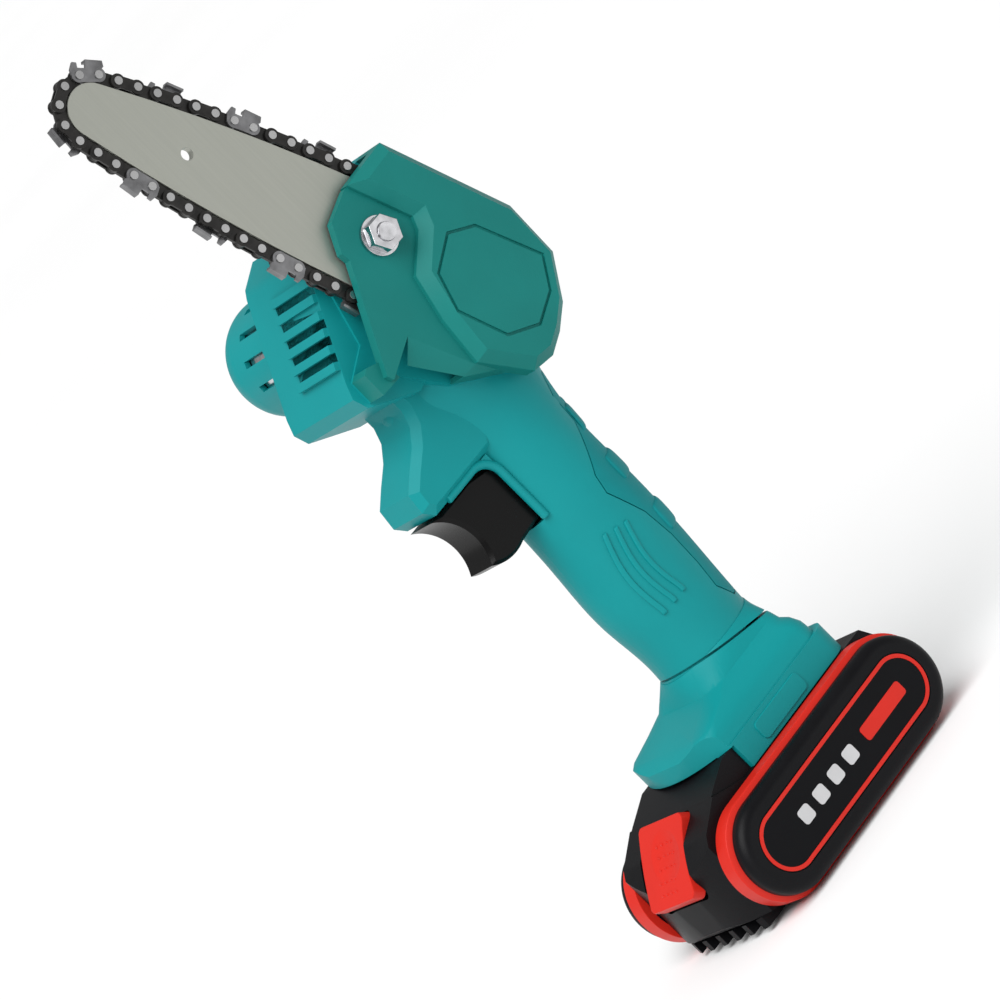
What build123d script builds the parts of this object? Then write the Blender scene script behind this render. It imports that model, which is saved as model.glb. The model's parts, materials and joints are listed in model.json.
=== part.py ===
from build123d import *
import os
from math import acos, asin, atan2, ceil, cos, degrees, hypot, pi, radians, sin, sqrt, tan

# One-hand cordless pruning chainsaw: a body in two halves with a ribbed motor housing across it,
# a gear pair, a short guide bar with a 1/4 inch chain, and a slide-on battery.
#
# Working frame, in millimetres: the tool stands on its battery.  +Z runs up the handle to the bar's
# nose, -X is the trigger side, -Y is the side of the sprocket cover, +Y is the side of the motor.
# Y = 0 is the middle of the handle, X = 0 and Z = 0 are the middle and the base of the battery.
# At the end every node moves by FRAME_SHIFT, which puts the origin under the middle of the whole tool.

# ---- driving dimensions --------------------------------------------------------------------------
RUN = 0.05                      # radial running clearance of turning and sliding fits
GAP = 0.3                       # clearance between neighbouring mouldings
WALL = 2.5                      # moulded wall

# saw chain, 1/4 inch: rivets half a pitch apart
DRIVE_LINKS = 28
TANG_T = 1.3                    # drive link thickness
STRAP_T = 0.9                   # side plate thickness
RIVET_R = 1.1
RIVET_HEAD_R = 1.35
BAR_LEAN = 22.15                # bar leans this far from the handle towards the trigger side
SPROCKET_X, SPROCKET_Z = 34.1, 194.1
CHAIN_Y = -23.0                 # middle plane of bar and chain

# guide bar, along its own axis from the sprocket centre
NOSE_A = 130.55                 # centre of the nose
NOSE_PITCH_R = 11.3             # rivet line round the nose
BELLY_A = 29.0                  # widest place of the bar
BELLY_W = 19.2                  # half width of the rivet line there
RAIL_DROP = 2.7                 # rivet line to the bar's edge
BAR_T = 3.0
BAR_TAIL_A = 21.0
GROOVE_T = TANG_T + 0.2
GROOVE_DEPTH = 5.0
STUD_A = 36.3                   # bar stud on the bar's middle line
STUD_R = 3.0
BAR_HOLE_A = 99.5
BAR_HOLE_R = 2.0
TENSION_TRAVEL = 2.5
TENSION_PITCH = 0.7

# gear pair and motor
MODULE = 1.0
GEAR_TEETH, PINION_TEETH = 42, 16
MOTOR_DIRECTION = 136.0         # direction from sprocket to motor in the side view, degrees
MOTOR_R = 17.8
MOTOR_Y0, MOTOR_Y1 = -4.0, 47.0
SPROCKET_TEETH = 7
SPROCKET_TIP_R = 12.2

# cover, head and motor housing, as distances across the tool
PLATE_Y = -17.5                 # face of the head behind the bar
PAD_Y = CHAIN_Y + BAR_T / 2     # pad that the bar lies on
COVER_LOW_Y = -28.5             # low face of the cover, round the nut
COVER_HIGH_Y = -34.0            # raised face over the sprocket
NUT_FLATS = 10.0
NUT_TOP_Y = -33.8
STUD_TIP_Y = -34.6
HOUSING_Y = 24.0                # end of the ribbed housing
RIB_Y0, RIB_Y1 = -16.5, 9.0
CAP_Y = 61.0                    # end of the vented cap
CAP_R = 19.8

# handle, foot and battery
HANDLE_B = 16.5                 # half width of the handle
FOOT_Z0, FOOT_Z1 = 36.6, 46.4   # belt of the foot
FOOT_X0, FOOT_X1 = -25.6, 38.3
FOOT_B = 26.0
FOOT_CEILING = 48.4             # solid rails and ceiling of the battery's slideway end here
FOOT_BOW_R = 45.0               # the foot's front is bowed in plan
PACK_HALF = 38.0                # half width of the battery
PACK_R = 18.0
PACK_L = 32.9                   # half length of the straight part of its ends
PACK_Z = 18.0                   # middle height of its ends
BAND_Y0, BAND_Y1 = 25.5, 33.0
END_R = 16.5                    # black end covers, inside the red bands
CELL_R, CELL_L = 9.2, 65.0
CELL_STEP = 2 * CELL_R + 0.2
CELL_X = 0.8                    # middle of the row of cells

nodes = {}


# ---- helpers -------------------------------------------------------------------------------------
def side_plane(y):
    """Plane across the tool: a sketch on it reads (x, z)."""
    return Plane(origin=(0, y, 0), x_dir=(1, 0, 0), z_dir=(0, -1, 0))


def slab(sketch, y_low, y_high):
    """Side-view sketch extruded between two places across the tool."""
    return extrude(side_plane(y_high) * sketch, amount=y_high - y_low)


def pin(x, z, radius, y_low, y_high):
    """Cylinder across the tool."""
    return slab(Pos(x, z) * Circle(radius), y_low, y_high)


def tube(x, z, outer, inner, y_low, y_high):
    """Ring across the tool."""
    return pin(x, z, outer, y_low, y_high) - pin(x, z, inner, y_low - 1, y_high + 1)


def block(x0, x1, y0, y1, z0, z1):
    """Plain box between two corners."""
    return Pos((x0 + x1) / 2, (y0 + y1) / 2, (z0 + z1) / 2) * Box(x1 - x0, y1 - y0, z1 - z0)


def polygon(points):
    """Side-view face from its corners."""
    return make_face(Polyline(*points, close=True))


def ring_points(centre_x, half_x, half_y, z):
    """Ellipse of the handle at a height."""
    return Pos(centre_x, 0, z) * Ellipse(half_x, half_y)


def in_bar(shape):
    """Places a sketch drawn along the bar, with its origin at the sprocket centre."""
    return Pos(SPROCKET_X, SPROCKET_Z) * Rot(0, 0, 90 + BAR_LEAN) * shape


def bar_point(a, b=0.0):
    """Side-view place of a point given along the bar and across it."""
    turn = radians(90 + BAR_LEAN)
    return (SPROCKET_X + a * cos(turn) - b * sin(turn), SPROCKET_Z + a * sin(turn) + b * cos(turn))


def stadium(half_straight, radius, x=0.0, z=PACK_Z):
    """Round-ended outline of the battery's ends."""
    return Pos(x, z) * SlotCenterToCenter(2 * half_straight, 2 * radius)


def largest(shape):
    """Biggest solid of a shape, without the slivers beside it."""
    return shape.solids().sort_by(SortBy.VOLUME)[-1]


def keep(name, shape):
    """Stores a finished sub-part, one solid or a list of separate ones, under its node name."""
    solids = []
    for item in shape if isinstance(shape, list) else [shape]:
        solids += item.solids()
    nodes[name] = solids


# ---- chain line ----------------------------------------------------------------------------------
# The rivet line is four arcs that meet smoothly: nose, two long bellies and the sprocket end.
BELLY_R = ((NOSE_A - BELLY_A) ** 2 + BELLY_W ** 2 - NOSE_PITCH_R ** 2) / (2 * (BELLY_W - NOSE_PITCH_R))
BELLY_B = BELLY_W - BELLY_R                                  # centre of the belly arc, across the bar
TAIL_PITCH_R = BELLY_R - hypot(BELLY_A, BELLY_B)             # rivet line round the sprocket
NOSE_TURN = asin((NOSE_A - BELLY_A) / (BELLY_R - NOSE_PITCH_R))
TAIL_TURN = asin(BELLY_A / (BELLY_R - TAIL_PITCH_R))
NOSE_ARC = (pi - 2 * NOSE_TURN) * NOSE_PITCH_R
BELLY_ARC = (NOSE_TURN + TAIL_TURN) * BELLY_R
TAIL_ARC = (pi - 2 * TAIL_TURN) * TAIL_PITCH_R
LOOP = NOSE_ARC + 2 * BELLY_ARC + TAIL_ARC
STEP = LOOP / (2 * DRIVE_LINKS)


def chain_point(s):
    """Place along the bar, across it, and the heading, at a distance round the rivet line.

    The distance starts where the belly on the trigger side meets the sprocket end, and runs to the nose.
    """
    s = s % LOOP
    if s < BELLY_ARC:
        angle = pi / 2 + TAIL_TURN - s / BELLY_R
        return BELLY_A + BELLY_R * cos(angle), BELLY_B + BELLY_R * sin(angle), angle - pi / 2
    s -= BELLY_ARC
    if s < NOSE_ARC:
        angle = pi / 2 - NOSE_TURN - s / NOSE_PITCH_R
        return NOSE_A + NOSE_PITCH_R * cos(angle), NOSE_PITCH_R * sin(angle), angle - pi / 2
    s -= NOSE_ARC
    if s < BELLY_ARC:
        angle = -pi / 2 + NOSE_TURN - s / BELLY_R
        return BELLY_A + BELLY_R * cos(angle), -BELLY_B + BELLY_R * sin(angle), angle - pi / 2
    s -= BELLY_ARC
    angle = -pi / 2 - TAIL_TURN - s / TAIL_PITCH_R
    return TAIL_PITCH_R * cos(angle), TAIL_PITCH_R * sin(angle), angle - pi / 2


def on_link(index, shape):
    """Lays a link sketch, drawn along X between rivets half a pitch each side of 0, on the chain."""
    a0, b0, _ = chain_point(index * STEP)
    a1, b1, _ = chain_point((index + 1) * STEP)
    heading = degrees(atan2(b1 - b0, a1 - a0))
    return in_bar(Pos((a0 + a1) / 2, (b0 + b1) / 2) * Rot(0, 0, heading) * shape)


HALF_STEP = STEP / 2


def link_plate(reach_out, reach_in):
    """Figure-of-eight side plate between two rivets, waisted in the middle."""
    lobes = Pos(-HALF_STEP, 0) * Circle(reach_out) + Pos(HALF_STEP, 0) * Circle(reach_out)
    waist = Rectangle(2 * HALF_STEP, 2 * reach_in)
    return lobes + waist


def rivet_holes():
    """Two rivet holes of a plate."""
    hole = Circle(RIVET_R + 0.07)
    return Pos(-HALF_STEP, 0) * hole + Pos(HALF_STEP, 0) * hole


def drive_link(index):
    """Middle plate with the tang that runs in the bar's groove and is driven by the sprocket."""
    tang = polygon([(-3.4, 0.4), (3.4, 0.4), (2.0, -3.2), (0.6, -4.9), (-1.2, -4.9), (-2.6, -3.0)])
    face = link_plate(2.2, 1.7) + tang - rivet_holes()
    return slab(on_link(index, face), CHAIN_Y - TANG_T / 2, CHAIN_Y + TANG_T / 2)


def side_plate(index, side):
    """Tie strap on one side of the chain: side -1 faces the cover, +1 the motor."""
    inner = CHAIN_Y + side * (TANG_T / 2 + 0.05)
    outer = inner + side * STRAP_T
    face = link_plate(2.3, 1.8) - rivet_holes()
    return slab(on_link(index, face), min(inner, outer), max(inner, outer))


def cutter(index, side):
    """Side plate with a raised depth gauge and a cutting top plate bent over the chain."""
    inner = CHAIN_Y + side * (TANG_T / 2 + 0.05)
    outer = inner + side * STRAP_T
    gauge = polygon([(-5.4, -1.2), (-3.2, 1.2), (-3.4, 3.9), (-4.8, 4.1), (-5.8, 1.8)])
    heel = polygon([(-0.9, 1.0), (3.6, 1.0), (5.2, 2.4), (5.0, 4.3), (-0.5, 4.8)])
    face = link_plate(2.3, 2.2) + gauge + heel - rivet_holes()
    plate = slab(on_link(index, face), min(inner, outer), max(inner, outer))
    top = polygon([(-0.5, 4.8), (5.0, 4.3), (5.0, 3.5), (-0.5, 4.0)])
    reach = CHAIN_Y - side * 1.2
    roof = slab(on_link(index, top), min(reach, outer), max(reach, outer))
    return plate + roof


def chain_rivet(index):
    """Rivet with a low head on each side."""
    a, b, _ = chain_point(index * STEP)
    x, z = bar_point(a, b)
    half = TANG_T / 2 + 0.05 + STRAP_T
    shank = pin(x, z, RIVET_R, CHAIN_Y - half - 0.02, CHAIN_Y + half + 0.02)
    heads = pin(x, z, RIVET_HEAD_R, CHAIN_Y - half - 0.45, CHAIN_Y - half - 0.02)
    heads += pin(x, z, RIVET_HEAD_R, CHAIN_Y + half + 0.02, CHAIN_Y + half + 0.45)
    return shank + heads


CUTTER_EVERY = 2                # every second pair of side plates carries a cutter


def make_chain():
    """Drive links, tie straps, cutters and rivets of the loop."""
    links, straps, cutters, rivets = [], [], [], []
    for n in range(DRIVE_LINKS):
        links.append(drive_link(2 * n))
        pair = 2 * n + 1
        cutter_side = 0
        if n % CUTTER_EVERY == 0 and n < DRIVE_LINKS - 1:
            cutter_side = -1 if (n // CUTTER_EVERY) % 2 == 0 else 1
        for side in (-1, 1):
            if side == cutter_side:
                cutters.append(cutter(pair, side))
            else:
                straps.append(side_plate(pair, side))
        rivets.append(chain_rivet(2 * n))
        rivets.append(chain_rivet(2 * n + 1))
    keep("chain_drive_links", links)
    keep("chain_tie_straps", straps)
    keep("chain_cutters", cutters)
    keep("chain_rivets", rivets)


# ---- guide bar -----------------------------------------------------------------------------------
def bar_face(inset):
    """Outline of the bar, its edges parallel to the rivet line."""
    drop = RAIL_DROP + inset
    belly = BELLY_R - drop
    nose = NOSE_PITCH_R - drop
    tail_a = BAR_TAIL_A + inset
    tail_b = BELLY_B + sqrt(belly ** 2 - (tail_a - BELLY_A) ** 2)
    join_a = BELLY_A + belly * sin(NOSE_TURN)
    join_b = BELLY_B + belly * cos(NOSE_TURN)
    top = ThreePointArc((tail_a, tail_b), (BELLY_A + belly * sin(NOSE_TURN / 2),
                        BELLY_B + belly * cos(NOSE_TURN / 2)), (join_a, join_b))
    tip = ThreePointArc((join_a, join_b), (NOSE_A + nose, 0), (join_a, -join_b))
    low = ThreePointArc((join_a, -join_b), (BELLY_A + belly * sin(NOSE_TURN / 2),
                        -BELLY_B - belly * cos(NOSE_TURN / 2)), (tail_a, -tail_b))
    return make_face([top, tip, low, Line((tail_a, -tail_b), (tail_a, tail_b))])


TENSION_A, TENSION_B = 31.0, -10.0      # hole that the tensioner's peg pulls on


def make_bar():
    """Guide bar: grooved edge, stud slot, peg hole and the hole near its nose."""
    bar = slab(in_bar(bar_face(0)), CHAIN_Y - BAR_T / 2, CHAIN_Y + BAR_T / 2)
    rim = in_bar(bar_face(-1) - bar_face(GROOVE_DEPTH))
    bar -= slab(rim, CHAIN_Y - GROOVE_T / 2, CHAIN_Y + GROOVE_T / 2)
    slot = Pos(STUD_A + TENSION_TRAVEL / 2, 0) * SlotCenterToCenter(TENSION_TRAVEL + 0.6, 2 * STUD_R + 0.3)
    holes = slot + Pos(BAR_HOLE_A, 0) * Circle(BAR_HOLE_R)
    holes += Pos(TENSION_A, TENSION_B) * Circle(2.05) + Pos(TENSION_A, -TENSION_B) * Circle(2.05)
    bar -= slab(in_bar(holes), CHAIN_Y - 5, CHAIN_Y + 5)
    keep("guide_bar", bar)


def make_tensioner():
    """Screw along the bar behind its plate, and the block with the peg that moves the bar."""
    x, z = bar_point(TENSION_A, TENSION_B)
    peg = pin(x, z, 2.0, CHAIN_Y + 0.0, PAD_Y + 1.0)
    heel = Pos(TENSION_A, TENSION_B) * Rectangle(8, 8)
    body = slab(in_bar(heel), PAD_Y + 1.0, PAD_Y + 8.6)
    axis = Plane(origin=(x, PAD_Y + 4.8, z), z_dir=(-sin(radians(BAR_LEAN)), 0, cos(radians(BAR_LEAN))))
    bore = axis * Pos(0, 0, -6) * Cylinder(2.05, 12, align=(Align.CENTER, Align.CENTER, Align.MIN))
    keep("tension_block", peg + body - bore)
    screw = axis * Pos(0, 0, -9) * Cylinder(2.0, 26, align=(Align.CENTER, Align.CENTER, Align.MIN))
    head = axis * Pos(0, 0, 17) * Cylinder(3.4, 3, align=(Align.CENTER, Align.CENTER, Align.MIN))
    drive = axis * Pos(0, 0, 18.6) * Box(1.0, 6.0, 3, align=(Align.CENTER, Align.CENTER, Align.MIN))
    keep("tension_screw", screw + head - drive)


# ---- drive ---------------------------------------------------------------------------------------
CENTRES = MODULE * (GEAR_TEETH + PINION_TEETH) / 2
MOTOR_X = SPROCKET_X + CENTRES * cos(radians(MOTOR_DIRECTION))
MOTOR_Z = SPROCKET_Z + CENTRES * sin(radians(MOTOR_DIRECTION))
GEAR_Y0, GEAR_Y1 = -12.5, -7.0
SPINDLE_R = 4.0
BACKLASH = 0.16
MOTOR_SCREW_X = 9.0


def tooth_half_angle(radius, teeth):
    """Half the angle of an involute tooth at a radius, pressure angle 20 degrees."""
    pressure = radians(20)
    pitch_r = MODULE * teeth / 2
    base_r = pitch_r * cos(pressure)
    here = acos(min(1.0, base_r / radius))
    involute = tan(here) - here
    pitch_involute = tan(pressure) - pressure
    return (pi * MODULE / 2 - BACKLASH) / (2 * pitch_r) + pitch_involute - involute


def gear_face(teeth, phase):
    """Toothed wheel with involute flanks."""
    pitch_r = MODULE * teeth / 2
    base_r = pitch_r * cos(radians(20))
    root_r = pitch_r - 1.25 * MODULE
    tip_r = pitch_r + 0.95 * MODULE
    start_r = max(base_r, root_r + 0.05)
    radii = [start_r + t * (tip_r - start_r) for t in (0, 0.25, 0.5, 0.75, 1)]
    points = []
    for tooth in range(teeth):
        middle = phase + 2 * pi * tooth / teeth
        flank = [(r, tooth_half_angle(r, teeth)) for r in radii]
        outline = [(root_r, -flank[0][1])] + [(r, -h) for r, h in flank]
        outline += [(r, h) for r, h in reversed(flank)] + [(root_r, flank[0][1])]
        points += [(r * cos(middle + h), r * sin(middle + h)) for r, h in outline]
    return polygon(points)


def make_gears():
    """Large gear on the output spindle and the motor's pinion."""
    line = radians(MOTOR_DIRECTION)
    gear = Pos(SPROCKET_X, SPROCKET_Z) * gear_face(GEAR_TEETH, line)
    wheel = slab(gear, GEAR_Y0, GEAR_Y1) - pin(SPROCKET_X, SPROCKET_Z, SPINDLE_R, GEAR_Y0 - 1, GEAR_Y1 + 1)
    for n in range(5):
        turn = 2 * pi * n / 5
        x = SPROCKET_X + 12.3 * cos(turn)
        z = SPROCKET_Z + 12.3 * sin(turn)
        wheel -= pin(x, z, 3.6, GEAR_Y0 - 1, GEAR_Y1 + 1)
    keep("drive_gear", wheel)
    mesh = line + pi + pi / PINION_TEETH
    pinion = Pos(MOTOR_X, MOTOR_Z) * gear_face(PINION_TEETH, mesh)
    keep("motor_pinion", slab(pinion, GEAR_Y0 - 0.5, GEAR_Y1 + 0.5)
         - pin(MOTOR_X, MOTOR_Z, 1.6, GEAR_Y0 - 1, GEAR_Y1 + 1))


def sprocket_face():
    """Spur sprocket: one tooth for each drive tang."""
    wheel = Circle(SPROCKET_TIP_R)
    for n in range(SPROCKET_TEETH):
        turn = 360 * n / SPROCKET_TEETH
        wheel -= Rot(0, 0, turn) * Pos(SPROCKET_TIP_R + 0.6, 0) * Circle(3.4)
    return wheel


FRONT_BEARING_Y = (-17.3, -14.3)
REAR_BEARING_Y = (-5.6, -2.6)


def bearing(x, z, bore, outer, y_low, y_high):
    """Ball bearing as its two rings and the shielded balls between them."""
    inner = tube(x, z, bore + 1.1, bore, y_low, y_high)
    race = tube(x, z, outer, outer - 1.1, y_low, y_high)
    middle = tube(x, z, outer - 1.1 + 0.05, bore + 1.1 - 0.05, y_low + 0.4, y_high - 0.4)
    return inner + race + middle


def make_spindle():
    """Output spindle, its bearings, the sprocket, its washer and clip."""
    x, z = SPROCKET_X, SPROCKET_Z
    spindle = pin(x, z, SPINDLE_R, -29.0, -1.6)
    spindle -= tube(x, z, SPINDLE_R + 1, SPINDLE_R - 0.5, -27.6, -26.9)
    keep("output_spindle", spindle)
    keep("front_bearing", bearing(x, z, SPINDLE_R + RUN, 8.0, *FRONT_BEARING_Y))
    keep("rear_bearing", bearing(x, z, SPINDLE_R + RUN, 8.0, *REAR_BEARING_Y))
    wheel = slab(Pos(x, z) * sprocket_face(), CHAIN_Y - 1.6, CHAIN_Y + 1.6)
    hub = pin(x, z, 7.0, CHAIN_Y - 3.0, CHAIN_Y + 4.2)
    keep("drive_sprocket", wheel + hub - pin(x, z, SPINDLE_R, -40, 0))
    keep("sprocket_washer", tube(x, z, 6.4, SPINDLE_R, -26.8, -26.1))
    clip = tube(x, z, 5.6, SPINDLE_R - 0.5, -27.55, -26.95)
    clip -= block(x, x + 8, -30, -25, z - 2.2, z + 2.2)
    keep("sprocket_clip", clip)


def make_motor():
    """Brushed motor: can, magnets, armature, commutator, shaft, brushes, end bell and fan."""
    x, z = MOTOR_X, MOTOR_Z
    can = pin(x, z, MOTOR_R, MOTOR_Y0, 38.0) - pin(x, z, MOTOR_R - 1.2, MOTOR_Y0 + 1.5, 38.1)
    can -= pin(x, z, 3.6, MOTOR_Y0 - 1, MOTOR_Y0 + 2)
    for side in (-1, 1):
        can -= pin(x + side * MOTOR_SCREW_X, z, 1.5, MOTOR_Y0 - 1, MOTOR_Y0 + 2)
    keep("motor_can", can)
    keep("motor_front_bush", tube(x, z, 3.6, 1.6 + RUN, MOTOR_Y0 - 1.2, MOTOR_Y0 + 1.5))
    magnets = []
    for start in (-60, 120):
        ring = tube(x, z, MOTOR_R - 1.25, MOTOR_R - 4.4, 3.0, 33.0)
        wedge = polygon([(0, 0)] + [(40 * cos(radians(start + 30 * k)), 40 * sin(radians(start + 30 * k)))
                                    for k in range(5)])
        magnets.append(ring & slab(Pos(x, z) * wedge, 0, 40))
    keep("motor_magnets", magnets)
    core = Circle(12.6)
    for n in range(5):
        core -= Rot(0, 0, 72 * n) * Pos(10.4, 0) * Rectangle(7.0, 3.4)
    stack = slab(Pos(x, z) * core, 5.0, 31.0) - pin(x, z, 1.6, 4, 32)
    keep("motor_armature", stack)
    coils = []
    for n in range(5):
        turn = radians(72 * n)
        coils.append(slab(Pos(x, z) * Rot(0, 0, 72 * n) * Pos(9.2, 0) * Rectangle(4.0, 3.2), 4.2, 31.8))
    keep("motor_windings", coils)
    keep("motor_commutator", tube(x, z, 4.6, 1.6, 34.0, 41.5))
    keep("motor_shaft", pin(x, z, 1.6, GEAR_Y0 - 0.5, 51.0))
    bell = pin(x, z, MOTOR_R, 38.0, MOTOR_Y1 - 3.0) - pin(x, z, MOTOR_R - 3.0, 37.9, MOTOR_Y1 - 5.0)
    bell -= pin(x, z, 1.6 + RUN, 30, 60)
    keep("motor_end_bell", bell)
    brushes = []
    for side in (-1, 1):
        near, far = sorted((x + side * 4.9, x + side * 10.5))
        brushes.append(block(near, far, 35.5, 40.0, z - 2.0, z + 2.0))
    keep("motor_brushes", brushes)
    blades = tube(x, z, 5.0, 1.6, 45.2, 49.5)
    for n in range(9):
        blades += slab(Pos(x, z) * Rot(0, 0, 40 * n) * Pos(9.2, 0) * Rectangle(9.6, 1.2), 45.2, 49.5)
    keep("motor_fan", blades)


# ---- outer forms of the body ---------------------------------------------------------------------
# Ribbed motor housing, side view: bottom corner, flat ribbed face, chamfered top.
HOUSING = [(-16.9, 194.8), (-18.6, 199.8), (-16.5, 204.5), (3.6, 237.7), (5.6, 240.0), (14.6, 244.0),
           (28.5, 238.0), (35.0, 222.0), (33.0, 203.0), (20.0, 190.0), (0.0, 186.0)]
# Head behind the sprocket cover; the cover's walls have the same outline.
HEAD = [(-15.6, 195.4), (-15.4, 203.5), (-4.0, 209.0), (3.6, 232.0), (14.6, 244.0), (43.0, 246.0),
        (60.0, 203.5), (59.3, 184.5), (49.2, 172.3), (41.0, 167.3), (33.3, 164.3), (8.6, 180.2),
        (-3.0, 195.0)]


GUARD_Z = 157.0                 # underside of the guard over the trigger

# heights, middles, half depths and half widths of the oval handle, from its foot up into the head
HANDLE_RINGS = [(58.0, 17.2, 18.6, 16.5), (68.0, 17.6, 18.4, 16.5), (77.0, 18.0, 18.8, 16.5),
                (91.0, 18.0, 20.3, 16.5), (113.0, 19.4, 20.2, 16.5), (128.0, 20.0, 19.6, 16.5),
                (146.0, 20.6, 19.6, 16.5), (158.0, 22.0, 20.6, 16.6), (172.0, 22.0, 23.4, 16.8),
                (188.0, 21.5, 26.0, 17.0)]


def handle_form(inset):
    """Oval handle and the throat above it, its section drawn at a few heights."""
    return loft([ring_points(x, depth - inset, width - inset, z) for z, x, depth, width in HANDLE_RINGS])


def guard_form(inset):
    """Horn over the trigger, in front of the throat."""
    profile = polygon([(-5.5, 194.0), (-5.5, 185.0), (-7.5, 180.2), (-12.0, 175.8), (-18.6, 171.6),
                       (-24.6, 167.4), (-25.6, 160.6), (-22.6, GUARD_Z), (8.0, GUARD_Z), (20.0, 176.0),
                       (16.0, 194.0)])
    half = 12.0 - inset
    shape = slab(offset(profile, -inset) if inset else profile, -half, half)
    if inset:
        return shape
    sides = shape.faces().sort_by(Axis.Y)
    return chamfer(sides[0].outer_wire().edges() + sides[-1].outer_wire().edges(), 2.5)


def rounded_plan(x0, x1, half, radius, z):
    """Rounded rectangle seen from above."""
    return Pos((x0 + x1) / 2, 0, z) * RectangleRounded(x1 - x0, 2 * half, radius)


def foot_form(inset):
    """Foot: a belt over the battery and the flare that joins it to the handle."""
    belt = loft([rounded_plan(FOOT_X0 + inset, FOOT_X1 - inset, FOOT_B - inset, 7 - inset, FOOT_Z0),
                 rounded_plan(FOOT_X0 + inset, FOOT_X1 - inset, FOOT_B - inset, 7 - inset, FOOT_Z1)])
    levels = [(FOOT_Z1, FOOT_X0, 35.5, 25.4), (51.0, FOOT_X0 + 1.0, 35.2, 24.8), (54.0, -20.5, 34.2, 23.4),
              (56.0, -12.0, 32.8, 21.5), (58.5, -4.5, 33.5, 18.8)]
    sections = []
    for z, x0, x1, half in levels:
        drop = 0.7 * inset if z > 50 else 0.0
        sections.append(rounded_plan(x0 + inset, x1 - inset, half - inset, 7 - inset, z - drop))
    flare = loft(sections + [ring_points(17.3, 18.9 - inset, HANDLE_B + 0.3 - inset, 66.0)], ruled=True)
    front = block(-60, -16.5, -40, 40, 30, 45.6)
    bow = Pos(FOOT_X0 + inset + FOOT_BOW_R, 0, 50) * Cylinder(FOOT_BOW_R, 60)
    return (belt + flare - front) & bow


def head_form(inset):
    """Gear case behind the sprocket cover."""
    outline = offset(polygon(HEAD), -inset, kind=Kind.INTERSECTION) if inset else polygon(HEAD)
    return slab(outline, PLATE_Y + (4.0 if inset else 0.0), 12.0 - inset)


def body_form(inset):
    """Handle, guard, foot and head together."""
    return handle_form(inset) + guard_form(inset) + foot_form(inset) + head_form(inset)


GRIP_LINE = [(50.0, 160.5), (38.0, 159.5), (34.0, 153.0), (33.6, 143.0), (22.5, 128.0), (21.0, 122.0),
             (26.5, 109.0), (28.0, 98.0), (27.5, 86.0), (26.0, 77.0), (30.0, 70.5), (50.0, 70.0)]
GRIP_T = 1.6
GRIP_GAP = 0.4                  # groove left round the soft grip
GROOVE_LINE = [(-12.0, 70.0), (50.0, 56.4), (50.0, 55.6), (-12.0, 69.2)]

# places of the body screws, seen from the side
BODY_SCREWS = [(30.5, 151.5), (17.5, 116.0), (17.5, 74.0), (-13.0, 166.0), (42.5, 228.0)]
BOSS_R = 3.6
BOSS_B = 16.0                   # bosses reach the walls of the handle
TRIGGER_B = 8.0
TRIGGER_POCKET = (-40.0, 16.0, -8.4, 8.4, 130.3, 156.8)


def pad_form():
    """Raised pad that the bar lies on, with the tensioner's channel and screw hole cut in it."""
    face = in_bar(Pos(37.5, 0) * RectangleRounded(27, 29, 3))
    return slab(face, PAD_Y, PLATE_Y + 5.0)


def tension_room():
    """Channel of the tensioner's block and clearance of its screw."""
    face = Pos(TENSION_A - TENSION_TRAVEL / 2, TENSION_B) * Rectangle(8 + TENSION_TRAVEL + 0.8, 8.6)
    channel = slab(in_bar(face), PAD_Y - 1, PAD_Y + 8.8)
    x, z = bar_point(TENSION_A, TENSION_B)
    axis = Plane(origin=(x, PAD_Y + 4.8, z), z_dir=(-sin(radians(BAR_LEAN)), 0, cos(radians(BAR_LEAN))))
    bore = axis * Pos(0, 0, -10) * Cylinder(2.06, 27, align=(Align.CENTER, Align.CENTER, Align.MIN))
    head = axis * Pos(0, 0, 16.6) * Cylinder(3.8, 12, align=(Align.CENTER, Align.CENTER, Align.MIN))
    return channel + bore + head


def gear_room():
    """Space round the gear pair, its bearings and the spindle."""
    room = pin(SPROCKET_X, SPROCKET_Z, 22.8, PLATE_Y + 4.0, -6.2)
    room += pin(MOTOR_X, MOTOR_Z, 9.8, PLATE_Y + 4.0, -6.2)
    room += pin(SPROCKET_X, SPROCKET_Z, 8.0, PLATE_Y - 0.1, PLATE_Y + 4.1)
    room += pin(SPROCKET_X, SPROCKET_Z, 6.2, PLATE_Y - 1, PLATE_Y + 4.1)
    return room


GEAR_PLATE = [(50.0, 190.0), (44.0, 178.0), (30.0, 176.0), (14.0, 190.0), (0.0, 206.0), (0.0, 222.0),
              (12.0, 230.0), (26.0, 226.0), (44.0, 208.0)]


def make_gear_plate():
    """Plate that carries the motor and the rear bearing."""
    plate = slab(polygon(GEAR_PLATE), -6.2, MOTOR_Y0)
    plate += pin(SPROCKET_X, SPROCKET_Z, 10.0, -6.2, -1.2)
    plate -= pin(SPROCKET_X, SPROCKET_Z, 8.0, REAR_BEARING_Y[0], REAR_BEARING_Y[1])
    plate -= pin(SPROCKET_X, SPROCKET_Z, SPINDLE_R + 0.6, -8, 0)
    plate -= pin(MOTOR_X, MOTOR_Z, 3.6, -8, 0)
    screws = []
    for side in (-1, 1):
        x = MOTOR_X + side * MOTOR_SCREW_X
        plate -= pin(x, MOTOR_Z, 1.5, -8, 0) + pin(x, MOTOR_Z, 2.6, -8, -5.0)
        screws.append(pin(x, MOTOR_Z, 1.5, -5.0, -2.6) + pin(x, MOTOR_Z, 2.6, -6.2, -5.0))
    keep("gear_plate", plate)
    keep("motor_screws", screws)


def housing_outer():
    """Outside of the ribbed motor housing, without its ribs."""
    return slab(polygon(HOUSING), RIB_Y0, HOUSING_Y)


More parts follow.
